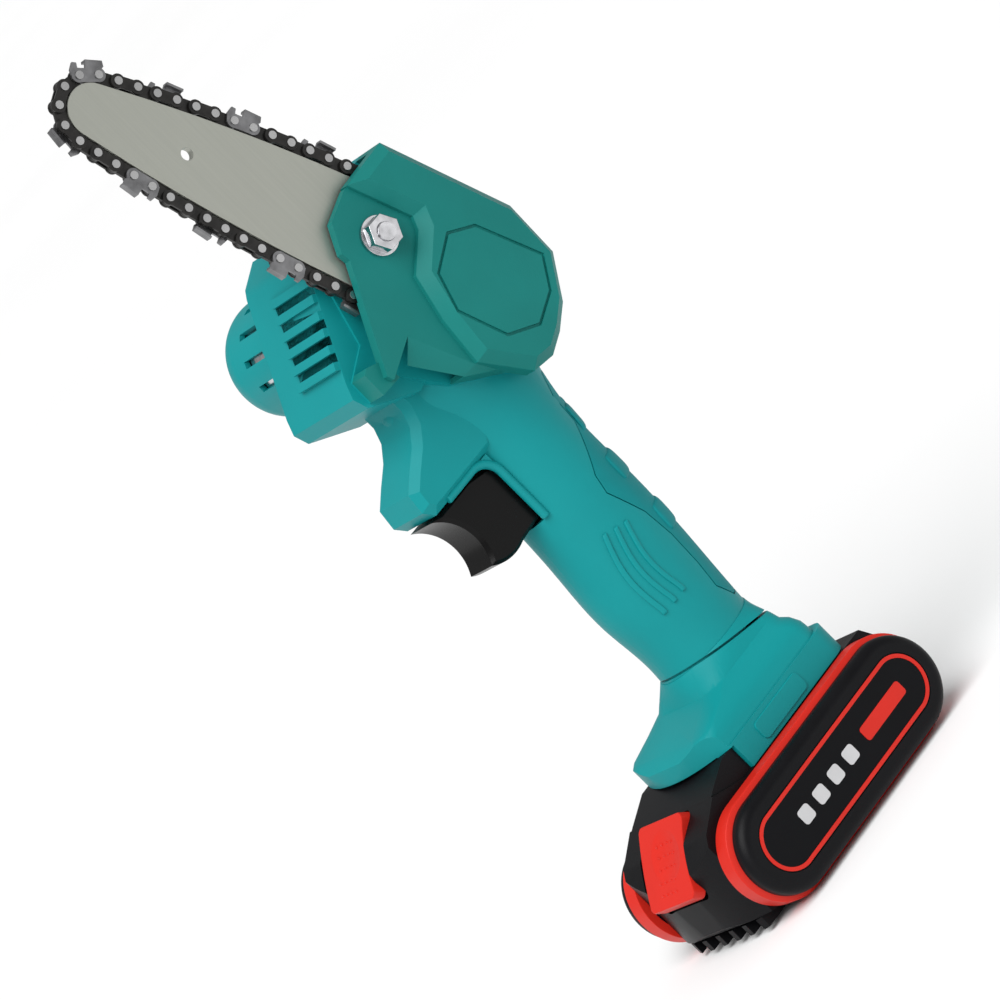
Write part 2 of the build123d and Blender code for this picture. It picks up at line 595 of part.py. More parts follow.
RIB_NORMAL = 147.6              # direction of the ribbed face in the side view, degrees
RIBS = 6
RIB_HEIGHT, RIB_T = 1.5, 2.6
RIB_PITCH = 5.35


def make_motor_housing():
    """Housing across the head, with ribs on its front face, round the motor."""
    shell = housing_outer()
    face_x, face_z = (HOUSING[2][0] + HOUSING[3][0]) / 2, (HOUSING[2][1] + HOUSING[3][1]) / 2
    along = radians(RIB_NORMAL - 90)
    for n in range(RIBS):
        step = (n - (RIBS - 1) / 2) * RIB_PITCH
        x = face_x + step * cos(along)
        z = face_z + step * sin(along)
        rib = Pos(x, z) * Rot(0, 0, RIB_NORMAL) * Rectangle(2 * RIB_HEIGHT, RIB_T)
        shell += slab(rib, RIB_Y0 + 0.2, RIB_Y1)
    shell -= pin(MOTOR_X, MOTOR_Z, MOTOR_R + 0.1, MOTOR_Y0, HOUSING_Y + 1)
    shell -= slab(polygon(GEAR_PLATE), -6.25, MOTOR_Y0 + 0.01)
    shell -= gear_room() + tension_room()
    shell -= pin(SPROCKET_X, SPROCKET_Z, 10.2, -7, 0)
    shell -= pin(*bar_point(STUD_A), STUD_R, -40, -12)
    keep("motor_housing", shell)


def make_shells():
    """Body halves, parted down the middle of the handle."""
    outer = body_form(0.0) + pad_form() - housing_outer()
    inner = handle_form(WALL) + guard_form(WALL) + foot_form(WALL)
    inner -= block(-60, 80, -40, 40, 30, FOOT_CEILING)
    inner += handle_form(WALL) & block(-60, 80, -40, 40, FOOT_CEILING, 80)
    inner += slab(offset(polygon(HEAD), -WALL, kind=Kind.INTERSECTION), -6.2, 12.0 - WALL)
    inner -= block(-60, 80, -40, PLATE_Y + 4.0, 150, 260)
    grip_zone = slab(polygon(GRIP_LINE), -30, 30)
    grip = (handle_form(0.0) & grip_zone) - handle_form(GRIP_T)
    grip = largest(grip)
    keep("rear_grip", grip)
    shell = outer - inner - ((handle_form(-1.0) & slab(offset(polygon(GRIP_LINE), GRIP_GAP), -30, 30))
                             - handle_form(GRIP_T))
    for x, z in BODY_SCREWS:
        shell += pin(x, z, BOSS_R, -BOSS_B, BOSS_B) & outer
    shell -= grip + (slab(polygon(GROOVE_LINE), -30, 30) - handle_form(0.9))
    shell -= block(*TRIGGER_POCKET)
    shell -= gear_room() + tension_room() + slab(polygon(GEAR_PLATE), -6.25, MOTOR_Y0 + 0.01)
    shell -= pin(SPROCKET_X, SPROCKET_Z, 10.2, -7, 0)
    shell -= pin(*bar_point(STUD_A), STUD_R, -40, -12)
    shell -= battery_room()
    screws = []
    for x, z in BODY_SCREWS:
        shell -= pin(x, z, 1.5, -9.0, 30.0) + pin(x, z, 2.9, 9.0, 30.0)
        head = pin(x, z, 2.8, 9.0, 11.2) - hex_socket(x, z, 1.2, 9.8, 12.0)
        screws.append(pin(x, z, 1.5, -9.0, 9.0) + head)
    keep("body_screws", screws)
    keep("cover_side_shell", largest(shell & block(-80, 90, -60, 0, 0, 300)))
    keep("motor_side_shell", largest(shell & block(-80, 90, 0, 60, 0, 300)))


def hex_socket(x, z, radius, y_low, y_high):
    """Hexagonal recess in a screw head."""
    return slab(Pos(x, z) * RegularPolygon(radius, 6), y_low, y_high)


TONGUE_B, TONGUE_Z, TONGUE_X1 = 20.5, 45.6, 31.8


def battery_room():
    """Slideway in the foot that the battery's tongue runs in."""
    room = block(-60, 35.5, -TONGUE_B - GAP, TONGUE_B + GAP, 40.6, TONGUE_Z + GAP)
    return room + block(-60, 35.5, -17.6 - GAP, 17.6 + GAP, 30, 41)


# ---- motor cap, cover and fasteners --------------------------------------------------------------
VENTS = 14


def make_motor_cap():
    """Domed cap over the motor's end, with slots round it."""
    def dome(radius, top):
        profile = make_face([Line((0, HOUSING_Y), (radius, HOUSING_Y)),
                             Line((radius, HOUSING_Y), (radius - 0.2, HOUSING_Y + 21)),
                             ThreePointArc((radius - 0.2, HOUSING_Y + 21), (radius * 0.80, top - 5.0),
                                           (radius * 0.35, top)),
                             Line((radius * 0.35, top), (0, top)), Line((0, top), (0, HOUSING_Y))])
        return Pos(MOTOR_X, 0, MOTOR_Z) * revolve(profile, Axis.Y)
    cap = dome(CAP_R, CAP_Y) - dome(MOTOR_R + 0.2, CAP_Y - 2.2)
    for n in range(VENTS):
        turn = 360 * n / VENTS
        slot = block(14, 24, HOUSING_Y + 2.0, HOUSING_Y + 15, -1.1, 1.1)
        cap -= Pos(MOTOR_X, 0, MOTOR_Z) * Rot(0, turn, 0) * slot
    keep("motor_cap", cap)


COVER_RAISED = [(43.0, 246.0), (60.0, 203.5), (59.3, 184.5), (49.2, 172.3), (41.0, 167.3), (33.3, 164.3),
                (25.0, 165.6), (12.9, 180.7), (14.8, 196.6), (19.0, 211.6), (31.0, 220.0), (33.0, 224.0),
                (24.4, 245.0)]
COVER_LOW = [(43.0, 246.0), (60.0, 203.5), (59.3, 184.5), (49.2, 172.3), (41.0, 167.3), (33.3, 164.3),
             (12.9, 180.7), (3.1, 201.6), (-10.7, 196.4), (-11.6, 198.6), (7.6, 229.5), (7.3, 232.6),
             (12.5, 241.0), (23.4, 244.5)]
OCTAGON = [(43.9, 208.4), (35.1, 213.3), (22.9, 207.6), (18.4, 195.8), (24.8, 179.6), (35.6, 174.1),
           (46.5, 178.2), (53.6, 187.0)]
COVER_WALL = 1.7


def make_cover():
    """Sprocket cover: low face round the nut, raised face over the sprocket, leg beside the chip slot."""
    cover = slab(polygon(COVER_LOW), COVER_LOW_Y, -24.6)
    raised = slab(polygon(COVER_RAISED), COVER_HIGH_Y, -24.6)
    top = raised.faces().sort_by(Axis.Y)[0]
    raised = chamfer(top.outer_wire().edges(), 3.2, 3.8, reference=top)
    cover += raised
    inside_walls = offset(polygon(HEAD), -COVER_WALL, kind=Kind.INTERSECTION)
    wall = polygon(HEAD) - inside_walls
    right = polygon([(24.0, 260.0), (70.0, 260.0), (70.0, 150.0), (20.0, 150.0), (8.0, 180.2), (20.0, 190.0),
                     (38.0, 230.0)])
    leg = polygon([(-20.0, 190.0), (-20.0, 206.0), (-13.0, 204.5), (-9.0, 203.0), (-6.0, 190.0)])
    low_edge = polygon([(3.1, 201.6), (12.9, 180.7), (33.3, 164.3), (22.0, 200.0)])
    wall_edge = polygon([(-2.6, 195.6), (8.6, 180.2), (33.3, 164.3), (22.0, 200.0)])
    cover += loft([side_plane(COVER_LOW_Y) * low_edge, side_plane(-26.0) * wall_edge], ruled=True)
    cover += slab(wall & right, -26.0, PLATE_Y)
    cover += slab(polygon(HEAD) & leg, -26.0, PLATE_Y)
    inside = offset(polygon(COVER_RAISED), -3.4, kind=Kind.INTERSECTION)
    cover -= slab(inside, COVER_HIGH_Y + 2.4, -24.0)
    chain_way = Pos(SPROCKET_X, SPROCKET_Z) * Circle(TAIL_PITCH_R + 5.1)
    chain_way += in_bar(Pos(40, 0) * Rectangle(80, 2 * (BELLY_W + 5.3)))
    cover -= slab(chain_way & inside_walls, -25.3, PLATE_Y - 0.5)
    cover -= slab(in_bar(Pos(52, 0) * Rectangle(20, 2 * (BELLY_W + 6))), -25.3, PLATE_Y + 1)
    x, z = bar_point(STUD_A)
    cover += pin(x, z, 8.5, COVER_LOW_Y, PAD_Y - BAR_T)
    cover -= pin(x, z, STUD_R + 0.1, -40, -10)
    groove = offset(polygon(OCTAGON), 0.5, kind=Kind.INTERSECTION)
    groove -= offset(polygon(OCTAGON), -0.5, kind=Kind.INTERSECTION)
    keep("sprocket_cover", cover - slab(groove, COVER_HIGH_Y - 1, COVER_HIGH_Y + 0.8))


def make_bar_fixing():
    """Stud in the pad and the flanged nut on the cover."""
    x, z = bar_point(STUD_A)
    keep("bar_stud", pin(x, z, STUD_R, STUD_TIP_Y, -12.5))
    nut = slab(Pos(x, z) * RegularPolygon(NUT_FLATS / 2, 6, major_radius=False), NUT_TOP_Y, COVER_LOW_Y - 1.2)
    nut += pin(x, z, 6.4, COVER_LOW_Y - 1.4, COVER_LOW_Y)
    keep("bar_nut", nut - pin(x, z, STUD_R, -40, -20))


# ---- trigger and switch --------------------------------------------------------------------------
def make_trigger():
    """Trigger with its finger hollow, the return spring behind it and the switch."""
    face = make_face([Line((8, 153), (-6.0, 156.2)), Line((-6.0, 156.2), (-24.4, 156.2)),
                      ThreePointArc((-24.4, 156.2), (-17.0, 144.0), (-20.0, 133.6)),
                      ThreePointArc((-20.0, 133.6), (-15.5, 131.2), (-6.0, 131.0)),
                      Line((-6.0, 131.0), (8, 132)), Line((8, 132), (8, 153))])
    trigger = slab(face, -TRIGGER_B, TRIGGER_B)
    sides = trigger.faces().sort_by(Axis.Y)
    trigger = chamfer(sides[0].outer_wire().edges() + sides[-1].outer_wire().edges(), 1.2)
    axis = Plane(origin=(-2, 0, 142.5), z_dir=(1, 0, 0))
    trigger -= axis * Cylinder(3.3, 12, align=(Align.CENTER, Align.CENTER, Align.MIN))
    keep("trigger", trigger)
    spring = axis * Cylinder(2.7, 18.5, align=(Align.CENTER, Align.CENTER, Align.MIN))
    spring -= axis * Cylinder(2.0, 19, align=(Align.CENTER, Align.CENTER, Align.MIN))
    keep("trigger_spring", spring)
    keep("switch_body", block(16.5, 33.0, -7.5, 7.5, 133.0, 147.0))
    keep("switch_terminals", [block(18.5 + 5 * n, 19.3 + 5 * n, -2.5, 2.5, 147.0, 152.0) for n in range(2)])


# ---- battery -------------------------------------------------------------------------------------
PACK_SIDE = [(-21.0, 36.5), (-34.0, 41.0), (-45.0, 35.4), (-51.0, 28.5), (-52.5, 22.0), (-52.7, 8.0),
             (-50.5, 6.0), (-46.0, 4.6), (44.0, 4.6), (48.0, 7.0), (49.2, 18.0), (48.0, 29.0), (44.0, 35.8)]
PACK_FRONT_X = -52.9
CASE_BOW_R = 62.0               # the front of the case is bowed in plan
BUTTON_B = 13.5
BUTTON_H = 13.4                 # half height along the slope
BUTTON_WAIST = 2.4
BUTTON_CORNER_R = 2.5
BUTTON_GAP = 0.4
BUTTON_BACK = 2.0               # button below its mean face
BUTTON_POCKET = 4.6             # depth of its recess, enough for its travel of 2.5
CONTACT_Y = (-11.5, -4.0, 4.0, 11.5)
BUTTON_TURN = 42.0              # the button presses in at this angle below the level


def cell_x(n):
    """Place of a cell in the row of five."""
    return CELL_X + (n - 2) * CELL_STEP


def make_battery():
    """Battery: middle case with its tongue, red bands, end covers, cells and what joins them."""
    case = slab(polygon(PACK_SIDE), -BAND_Y0, BAND_Y0)
    nose = polygon([(-21.0, 36.0), (-34.0, 41.0), (-33.0, 41.4), (-22.0, 45.5), (-16.8, 45.5), (-16.8, 36.0)])
    case += slab(nose, -BAND_Y0 + 1.0, BAND_Y0 - 1.0)
    case += block(-20, TONGUE_X1, -17.6, 17.6, 36, 41.5)
    case += block(-20, TONGUE_X1, -TONGUE_B, TONGUE_B, 41.0, TONGUE_Z)
    for n in range(6):
        y = -20 + 8 * n
        case += block(-50.5, -38, y - 1.2, y + 1.2, 1.4, 5.4)
    case &= Pos(PACK_FRONT_X + CASE_BOW_R, 0, 20) * Cylinder(CASE_BOW_R, 80)
    case -= slab(stadium(2 * CELL_STEP + 0.2, CELL_R + 0.3, CELL_X), -BAND_Y0 - 1, BAND_Y0 + 1)
    case -= block(-14, 31, -15, 15, 33.5, 42.5)
    for y in CONTACT_Y:
        case -= block(18, 36, y - 1.4, y + 1.4, 36.8, 44.4)
    keep("battery_case", case - button_pocket())
    for side, tag in ((-1, "near"), (1, "far")):
        low, high = sorted((side * BAND_Y0, side * BAND_Y1))
        ring = slab(stadium(PACK_L, PACK_R), low, high)
        face = ring.faces().sort_by(Axis.Y)[0 if side < 0 else -1]
        ring = chamfer(face.outer_wire().edges(), 3.5, 1.4, reference=face)
        keep(f"battery_band_{tag}", ring - slab(stadium(PACK_L, PACK_R - 3.0), low - 1, high + 1))
        low, high = sorted((side * BAND_Y1, side * PACK_HALF))
        end = slab(stadium(PACK_L, END_R), low, high)
        face = end.faces().sort_by(Axis.Y)[0 if side < 0 else -1]
        end = fillet(face.outer_wire().edges(), 3.4)
        end -= slab(stadium(PACK_L, 10.4), *sorted((side * (PACK_HALF - 0.8), side * (PACK_HALF + 1))))
        inner = slab(stadium(PACK_L, END_R - 3.5), *sorted((side * (BAND_Y1 - 1), side * (BAND_Y1 + 2.4))))
        keep(f"battery_end_{tag}", end - inner)
        plate = slab(stadium(PACK_L, 10.2), *sorted((side * (PACK_HALF - 0.8), side * (PACK_HALF - 0.2))))
        keep(f"battery_label_{tag}", plate)
    cells = [pin(cell_x(n), PACK_Z, CELL_R, -CELL_L / 2, CELL_L / 2) for n in range(5)]
    keep("battery_cells", cells)
    strips = []
    for side in (-1, 1):
        low, high = sorted((side * CELL_L / 2, side * (CELL_L / 2 + 0.3)))
        pairs = ((0, 1), (2, 3), (4, 4)) if side < 0 else ((0, 0), (1, 2), (3, 4))
        for first, last in pairs:
            strips.append(block(cell_x(first) - 4, cell_x(last) + 4, low, high, PACK_Z - 3.5, PACK_Z + 3.5))
    keep("battery_strips", strips)
    keep("battery_board", block(-13, 17, -14, 14, 36.2, 37.8))
    contacts = [block(18.2, 30.0, y - 0.5, y + 0.5, 37.9, 43.6) for y in CONTACT_Y]
    keep("battery_contacts", contacts)


def button_axis():
    """Frame of the release button: its Z points out of the sloping front of the battery."""
    turn = radians(BUTTON_TURN)
    return Plane(origin=(-45.0, 0, 31.2), x_dir=(0, 1, 0), z_dir=(-cos(turn), 0, sin(turn)))


def button_face():
    """Outline of the release button: waisted on the cover side, bulging on the motor side."""
    near = ThreePointArc((-BUTTON_B, BUTTON_H), (-BUTTON_B + BUTTON_WAIST, 0), (-BUTTON_B, -BUTTON_H))
    far = ThreePointArc((BUTTON_B, -BUTTON_H), (BUTTON_B + 1.2, 0), (BUTTON_B, BUTTON_H))
    face = make_face([near, Line((-BUTTON_B, -BUTTON_H), (BUTTON_B, -BUTTON_H)), far,
                      Line((BUTTON_B, BUTTON_H), (-BUTTON_B, BUTTON_H))])
    return fillet(face.vertices(), BUTTON_CORNER_R)


def button_pocket():
    """Recess in the battery's front for the button and its spring."""
    return button_axis() * extrude(Pos(0, 0, -BUTTON_POCKET) * offset(button_face(), BUTTON_GAP), amount=30)


def make_button():
    """Release button with its hollow for the thumb, and its spring."""
    button = button_axis() * extrude(Pos(0, 0, -BUTTON_BACK) * button_face(), amount=BUTTON_BACK + 2.6)
    dish = button_axis() * Pos(0, -2, 33.4) * Sphere(32)
    well = button_axis() * Pos(0, 0, -3) * Cylinder(3.2, 3, align=(Align.CENTER, Align.CENTER, Align.MIN))
    keep("release_button", button - dish - well)
    spring = Cylinder(2.6, BUTTON_POCKET, align=(Align.CENTER, Align.CENTER, Align.MIN))
    spring -= Cylinder(1.9, BUTTON_POCKET, align=(Align.CENTER, Align.CENTER, Align.MIN))
    keep("button_spring", button_axis() * Pos(0, 0, -BUTTON_POCKET) * spring)


def make_terminals():
    """Block in the foot whose blades enter the battery."""
    keep("terminal_block", block(32.2, 35.4, -16.0, 16.0, 37.8, 45.8))
    keep("terminal_blades", [block(22.0, 32.2, y - 1.2, y - 0.6, 38.6, 43.4) for y in CONTACT_Y])


make_chain()
make_bar()
make_tensioner()
make_gears()
make_spindle()
make_motor()
make_gear_plate()
make_motor_housing()
make_shells()
make_motor_cap()
make_cover()
make_bar_fixing()
make_trigger()
make_battery()
make_button()
make_terminals()

# ---- origin and export ---------------------------------------------------------------------------
whole = [solid.bounding_box() for solids in nodes.values() for solid in solids]
FRAME_SHIFT = Vector(-(min(b.min.X for b in whole) + max(b.max.X for b in whole)) / 2,
                     -(min(b.min.Y for b in whole) + max(b.max.Y for b in whole)) / 2,
                     -min(b.min.Z for b in whole))
os.makedirs("parts", exist_ok=True)
for name, solids in nodes.items():
    placed = [Pos(FRAME_SHIFT) * solid for solid in solids]
    export_step(placed[0] if len(placed) == 1 else Compound(placed), f"parts/{name}.step")
print("rivet loop", round(LOOP, 2), "step", round(STEP, 4), "shift", FRAME_SHIFT)
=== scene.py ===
# %% [markdown]
# # A small cordless pruning chainsaw
# This notebook dresses a finished mechanical model. The frame holds every part in its true place,
# in metres: +Z runs up the handle to the nose of the bar, -Y is the side of the sprocket cover.
# The cells below round the edges of the mouldings, add the details that are too fine for a
# mechanical model, and give each part the finish of its real material.

# %% Load the frame
import bpy, bmesh, json
from math import radians, sin, pi
from mathutils import Matrix, Vector


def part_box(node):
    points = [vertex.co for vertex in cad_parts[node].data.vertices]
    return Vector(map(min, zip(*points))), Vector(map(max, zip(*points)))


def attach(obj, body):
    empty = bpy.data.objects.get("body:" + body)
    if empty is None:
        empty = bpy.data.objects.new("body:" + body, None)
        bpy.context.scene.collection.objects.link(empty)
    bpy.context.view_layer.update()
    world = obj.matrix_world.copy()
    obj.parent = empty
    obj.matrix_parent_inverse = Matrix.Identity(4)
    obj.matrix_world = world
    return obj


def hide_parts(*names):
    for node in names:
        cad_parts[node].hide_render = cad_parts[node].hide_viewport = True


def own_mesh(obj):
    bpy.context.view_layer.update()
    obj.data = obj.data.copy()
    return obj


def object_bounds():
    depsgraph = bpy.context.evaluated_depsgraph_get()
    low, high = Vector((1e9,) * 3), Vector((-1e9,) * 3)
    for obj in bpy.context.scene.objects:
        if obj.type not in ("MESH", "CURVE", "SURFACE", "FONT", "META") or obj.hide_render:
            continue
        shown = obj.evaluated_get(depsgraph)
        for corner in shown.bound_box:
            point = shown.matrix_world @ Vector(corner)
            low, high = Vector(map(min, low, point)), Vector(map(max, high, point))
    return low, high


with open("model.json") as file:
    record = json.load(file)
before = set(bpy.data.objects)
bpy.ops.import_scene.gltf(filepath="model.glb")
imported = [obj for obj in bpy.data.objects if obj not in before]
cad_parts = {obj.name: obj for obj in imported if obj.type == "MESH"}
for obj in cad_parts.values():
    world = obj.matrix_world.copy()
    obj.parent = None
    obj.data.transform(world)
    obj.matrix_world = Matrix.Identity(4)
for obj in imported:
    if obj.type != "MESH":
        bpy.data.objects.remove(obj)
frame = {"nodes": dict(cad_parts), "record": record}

cad_low, cad_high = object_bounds()
NODES = frame["nodes"]
MM = 0.001
print("parts in the frame:", len(NODES), "box", [round(v, 4) for v in cad_high - cad_low])

# %% [markdown]
# ## Camera
# A long lens far from the tool keeps its edges nearly parallel, as in catalogue pictures. The camera
# is rolled, so that the tool, which stands upright here, lies across the picture corner to corner.
# Its place and directions are fixed values, fitted once to this frame. A model that is packed in
# another place needs new ones.

# %% Camera
CAMERA_PLACE = Vector((-0.88645, -1.51340, 0.45310))
VIEW_LINE = Vector((0.50054, 0.84782, -0.17510)).normalized()
VIEW_UP = Vector((0.67420, -0.25488, 0.69317)).normalized()
LENS_MM = 211.03

lens = bpy.data.cameras.new("camera")
lens.lens = LENS_MM
lens.sensor_width = 36.0
lens.clip_end = 50.0
camera = bpy.data.objects.new("camera", lens)
bpy.context.scene.collection.objects.link(camera)
right = VIEW_LINE.cross(VIEW_UP).normalized()
up = right.cross(VIEW_LINE)
turn = Matrix((right, up, -VIEW_LINE)).transposed()
camera.matrix_world = Matrix.Translation(CAMERA_PLACE) @ turn.to_4x4()
bpy.context.scene.camera = camera
bpy.context.scene.view_settings.view_transform = "Standard"
print("camera looks along", [round(v, 3) for v in VIEW_LINE])

# %% [markdown]
# ## Light and floor
# Soft light comes from everywhere, as in a white tent: the world gives about a third of it, and a
# wide, distant sun most of the rest, so the floor is evenly bright. A large panel in front gives
# the plastics their gentle highlights. The floor is a wide pale sheet under the battery.

# %% Light and floor
WORLD_STRENGTH = 0.42
SUN_STRENGTH = 2.75
SUN_SPREAD = radians(50.0)
SUN_LINE = Vector((0.55, 0.42, -1.0))
LIGHT_PLACE = (-0.9, -1.3, 0.9)
LIGHT_SIZE = 0.6
LIGHT_POWER = 4.0
FLOOR_SIZE = 60.0
FLOOR_GAP = 0.4 * MM
MIDDLE = (cad_low + cad_high) / 2

world = bpy.data.worlds.new("white_tent")
bpy.context.scene.world = world
world.use_nodes = True
sky = world.node_tree.nodes["Background"]
sky.inputs["Color"].default_value = (1.0, 1.0, 1.0, 1.0)
sky.inputs["Strength"].default_value = WORLD_STRENGTH


def light_panel(name, place, aim, width, power):
    """Square soft light at a place, turned to face a point."""
    data = bpy.data.lights.new(name, "AREA")
    data.shape = "SQUARE"
    data.size = width
    data.energy = power
    panel = bpy.data.objects.new(name, data)
    bpy.context.scene.collection.objects.link(panel)
    panel.location = place
    panel.rotation_euler = (Vector(aim) - Vector(place)).to_track_quat("-Z", "Y").to_euler()


sun_data = bpy.data.lights.new("tent_sun", "SUN")
sun_data.energy = SUN_STRENGTH
sun_data.angle = SUN_SPREAD
tent_sun = bpy.data.objects.new("tent_sun", sun_data)
bpy.context.scene.collection.objects.link(tent_sun)
tent_sun.rotation_euler = SUN_LINE.to_track_quat("-Z", "Y").to_euler()
light_panel("front_panel", LIGHT_PLACE, MIDDLE, LIGHT_SIZE, LIGHT_POWER)


def deselect_all():
    """Leaves nothing selected and nothing active."""
    for thing in bpy.context.selected_objects:
        thing.select_set(False)
    bpy.context.view_layer.objects.active = None


def pick(piece):
    """Makes one piece the selected and active object."""
    deselect_all()
    piece.select_set(True)
    bpy.context.view_layer.objects.active = piece


deselect_all()
bpy.ops.mesh.primitive_plane_add(size=FLOOR_SIZE, location=(MIDDLE.x, MIDDLE.y, cad_low.z - FLOOR_GAP))
floor = bpy.context.object
floor.name = "floor"
print("floor at", round(floor.location.z, 4))

# %% [markdown]
# ## Building finishes
# Every finish here is grown from noise in the object's own coordinates, so it needs no pictures and
# stays put from every side. One function lays down the common part: a base colour with a slow, faint
# mottle, a roughness that wanders a little, and a fine grain in the surface normal.

# %% Finish helper
TINT_STOPS = (0.3, 0.7)
MOTTLE_DETAIL = 4.0
GRAIN_DETAIL = 2.0
SMOOTHEST = 0.02
GRAIN_DEPTH = 0.2 * MM


def mottled(name, colour, rough, grain=0.12, grain_scale=2600.0, shift=0.16, mottle_scale=60.0,
            rough_spread=0.08, metal=0.0, shine=0.5, stretch=(1.0, 1.0, 1.0), turn=(0.0, 0.0, 0.0)):
    """Material with a mottled colour, a wandering roughness and a fine grain."""
    finish = bpy.data.materials.new(name)
    finish.use_nodes = True
    tree = finish.node_tree
    shader = tree.nodes["Principled BSDF"]
    shader.inputs["Metallic"].default_value = metal
    shader.inputs["Specular IOR Level"].default_value = shine
    place = tree.nodes.new("ShaderNodeTexCoord")
    lay = tree.nodes.new("ShaderNodeMapping")
    lay.inputs["Scale"].default_value = stretch
    lay.inputs["Rotation"].default_value = turn
    tree.links.new(place.outputs["Object"], lay.inputs["Vector"])

    clouds = tree.nodes.new("ShaderNodeTexNoise")
    clouds.inputs["Scale"].default_value = mottle_scale
    clouds.inputs["Detail"].default_value = MOTTLE_DETAIL
    tree.links.new(lay.outputs["Vector"], clouds.inputs["Vector"])
    tint = tree.nodes.new("ShaderNodeValToRGB")
    dark, light = tint.color_ramp.elements
    dark.position, light.position = TINT_STOPS
    dark.color = [c * (1.0 - shift) for c in colour] + [1.0]
    light.color = [min(1.0, c * (1.0 + shift)) for c in colour] + [1.0]
    tree.links.new(clouds.outputs["Fac"], tint.inputs["Fac"])
    tree.links.new(tint.outputs["Color"], shader.inputs["Base Color"])

    wander = tree.nodes.new("ShaderNodeMapRange")
    wander.inputs["To Min"].default_value = max(SMOOTHEST, rough - rough_spread)
    wander.inputs["To Max"].default_value = min(1.0, rough + rough_spread)
    tree.links.new(clouds.outputs["Fac"], wander.inputs["Value"])
    tree.links.new(wander.outputs["Result"], shader.inputs["Roughness"])

    speckle = tree.nodes.new("ShaderNodeTexNoise")
    speckle.inputs["Scale"].default_value = grain_scale
    speckle.inputs["Detail"].default_value = GRAIN_DETAIL
    tree.links.new(lay.outputs["Vector"], speckle.inputs["Vector"])
    relief = tree.nodes.new("ShaderNodeBump")
    relief.inputs["Strength"].default_value = grain
    relief.inputs["Distance"].default_value = GRAIN_DEPTH
    tree.links.new(speckle.outputs["Fac"], relief.inputs["Height"])
    tree.links.new(relief.outputs["Normal"], shader.inputs["Normal"])
    return finish


# %% [markdown]
# ## The plastics
# The body and the motor housing are moulded in one teal nylon, a little glossy. The sprocket cover
# is a duller, greener batch of the same. The battery is a satin black, the trigger a shinier one, and
# the bands and the release button are an orange red. The soft grip keeps the body colour, but it
# scatters more light, which is roughness and a coarser grain.

# %% Plastics
TEAL = (0.004, 0.250, 0.262)
COVER_TEAL = (0.007, 0.170, 0.154)
BLACK = (0.003, 0.003, 0.003)
RED = (0.60, 0.020, 0.011)

teal_plastic = mottled("teal_plastic", TEAL, 0.45, grain=0.10, shift=0.05, mottle_scale=25.0, shine=0.15)
cover_plastic = mottled("cover_plastic", COVER_TEAL, 0.48, grain=0.16, shift=0.07, mottle_scale=35.0,
                        shine=0.15)
soft_grip = mottled("soft_grip", (0.004, 0.222, 0.236), 0.6, grain=0.30, grain_scale=1800.0, shift=0.06,
                    shine=0.12)
battery_black = mottled("battery_black", (0.004, 0.004, 0.005), 0.42, grain=0.25, grain_scale=2200.0,
                        shift=0.2, shine=0.13)
gloss_black = mottled("gloss_black", BLACK, 0.28, grain=0.05, shift=0.15, shine=0.14)
label_black = mottled("label_black", (0.003, 0.003, 0.004), 0.32, grain=0.03, shift=0.1, shine=0.10)
signal_red = mottled("signal_red", RED, 0.42, grain=0.10, shift=0.05, mottle_scale=40.0, shine=0.22)
fan_grey = mottled("fan_grey", (0.03, 0.03, 0.03), 0.5, shift=0.2)
cell_blue = mottled("cell_sleeve", (0.02, 0.10, 0.36), 0.28, grain=0.04, shift=0.08)
board_green = mottled("circuit_board", (0.015, 0.13, 0.05), 0.35, grain=0.05, shift=0.25, mottle_scale=300.0)
print("plastics:", [m.name for m in bpy.data.materials])

# %% [markdown]
# ## The metals
# The guide bar is ground along its length, so its grain is drawn out along the bar: the mapping is
# turned to the bar's lean and stretched. The chain's plates are blackened and oily, its rivets worn
# bright, its cutters plated. Gears, shafts and bearings are oiled steel.

# %% Metals
BAR_LEAN = radians(22.15)
GRIND = (2400.0, 60.0, 60.0)
bar_steel = mottled("bar_steel", (0.40, 0.41, 0.365), 0.42, grain=0.12, grain_scale=1.0, shift=0.035,
                    mottle_scale=0.5, rough_spread=0.05, metal=0.8, stretch=GRIND, turn=(0.0, BAR_LEAN, 0.0))
chain_black = mottled("chain_black", (0.022, 0.021, 0.020), 0.34, grain=0.2, grain_scale=900.0, shift=0.4,
                      mottle_scale=220.0, metal=0.6)
cutter_chrome = mottled("cutter_chrome", (0.20, 0.20, 0.205), 0.30, grain=0.1, grain_scale=900.0, shift=0.3,
                        mottle_scale=260.0, metal=0.9)
rivet_steel = mottled("rivet_steel", (0.42, 0.42, 0.42), 0.24, grain=0.05, shift=0.15, metal=1.0)
zinc = mottled("bright_zinc", (0.58, 0.58, 0.60), 0.16, grain=0.12, grain_scale=700.0, shift=0.25,
               mottle_scale=300.0, metal=1.0)
dark_steel = mottled("oiled_steel", (0.13, 0.13, 0.135), 0.34, grain=0.10, shift=0.25, metal=0.9)
gear_steel = mottled("gear_steel", (0.36, 0.36, 0.37), 0.28, grain=0.10, shift=0.18, metal=1.0)
cast_alloy = mottled("cast_alloy", (0.52, 0.52, 0.53), 0.5, grain=0.35, grain_scale=1200.0, shift=0.12,
                     metal=0.9)
copper = mottled("copper", (0.68, 0.27, 0.13), 0.3, grain=0.1, shift=0.15, metal=1.0)
brass = mottled("brass", (0.70, 0.50, 0.20), 0.28, grain=0.06, shift=0.12, metal=1.0)
ferrite = mottled("ferrite", (0.06, 0.06, 0.065), 0.6, grain=0.3, grain_scale=1500.0, shift=0.2)
carbon = mottled("carbon", (0.02, 0.02, 0.02), 0.55, grain=0.3, shift=0.2)
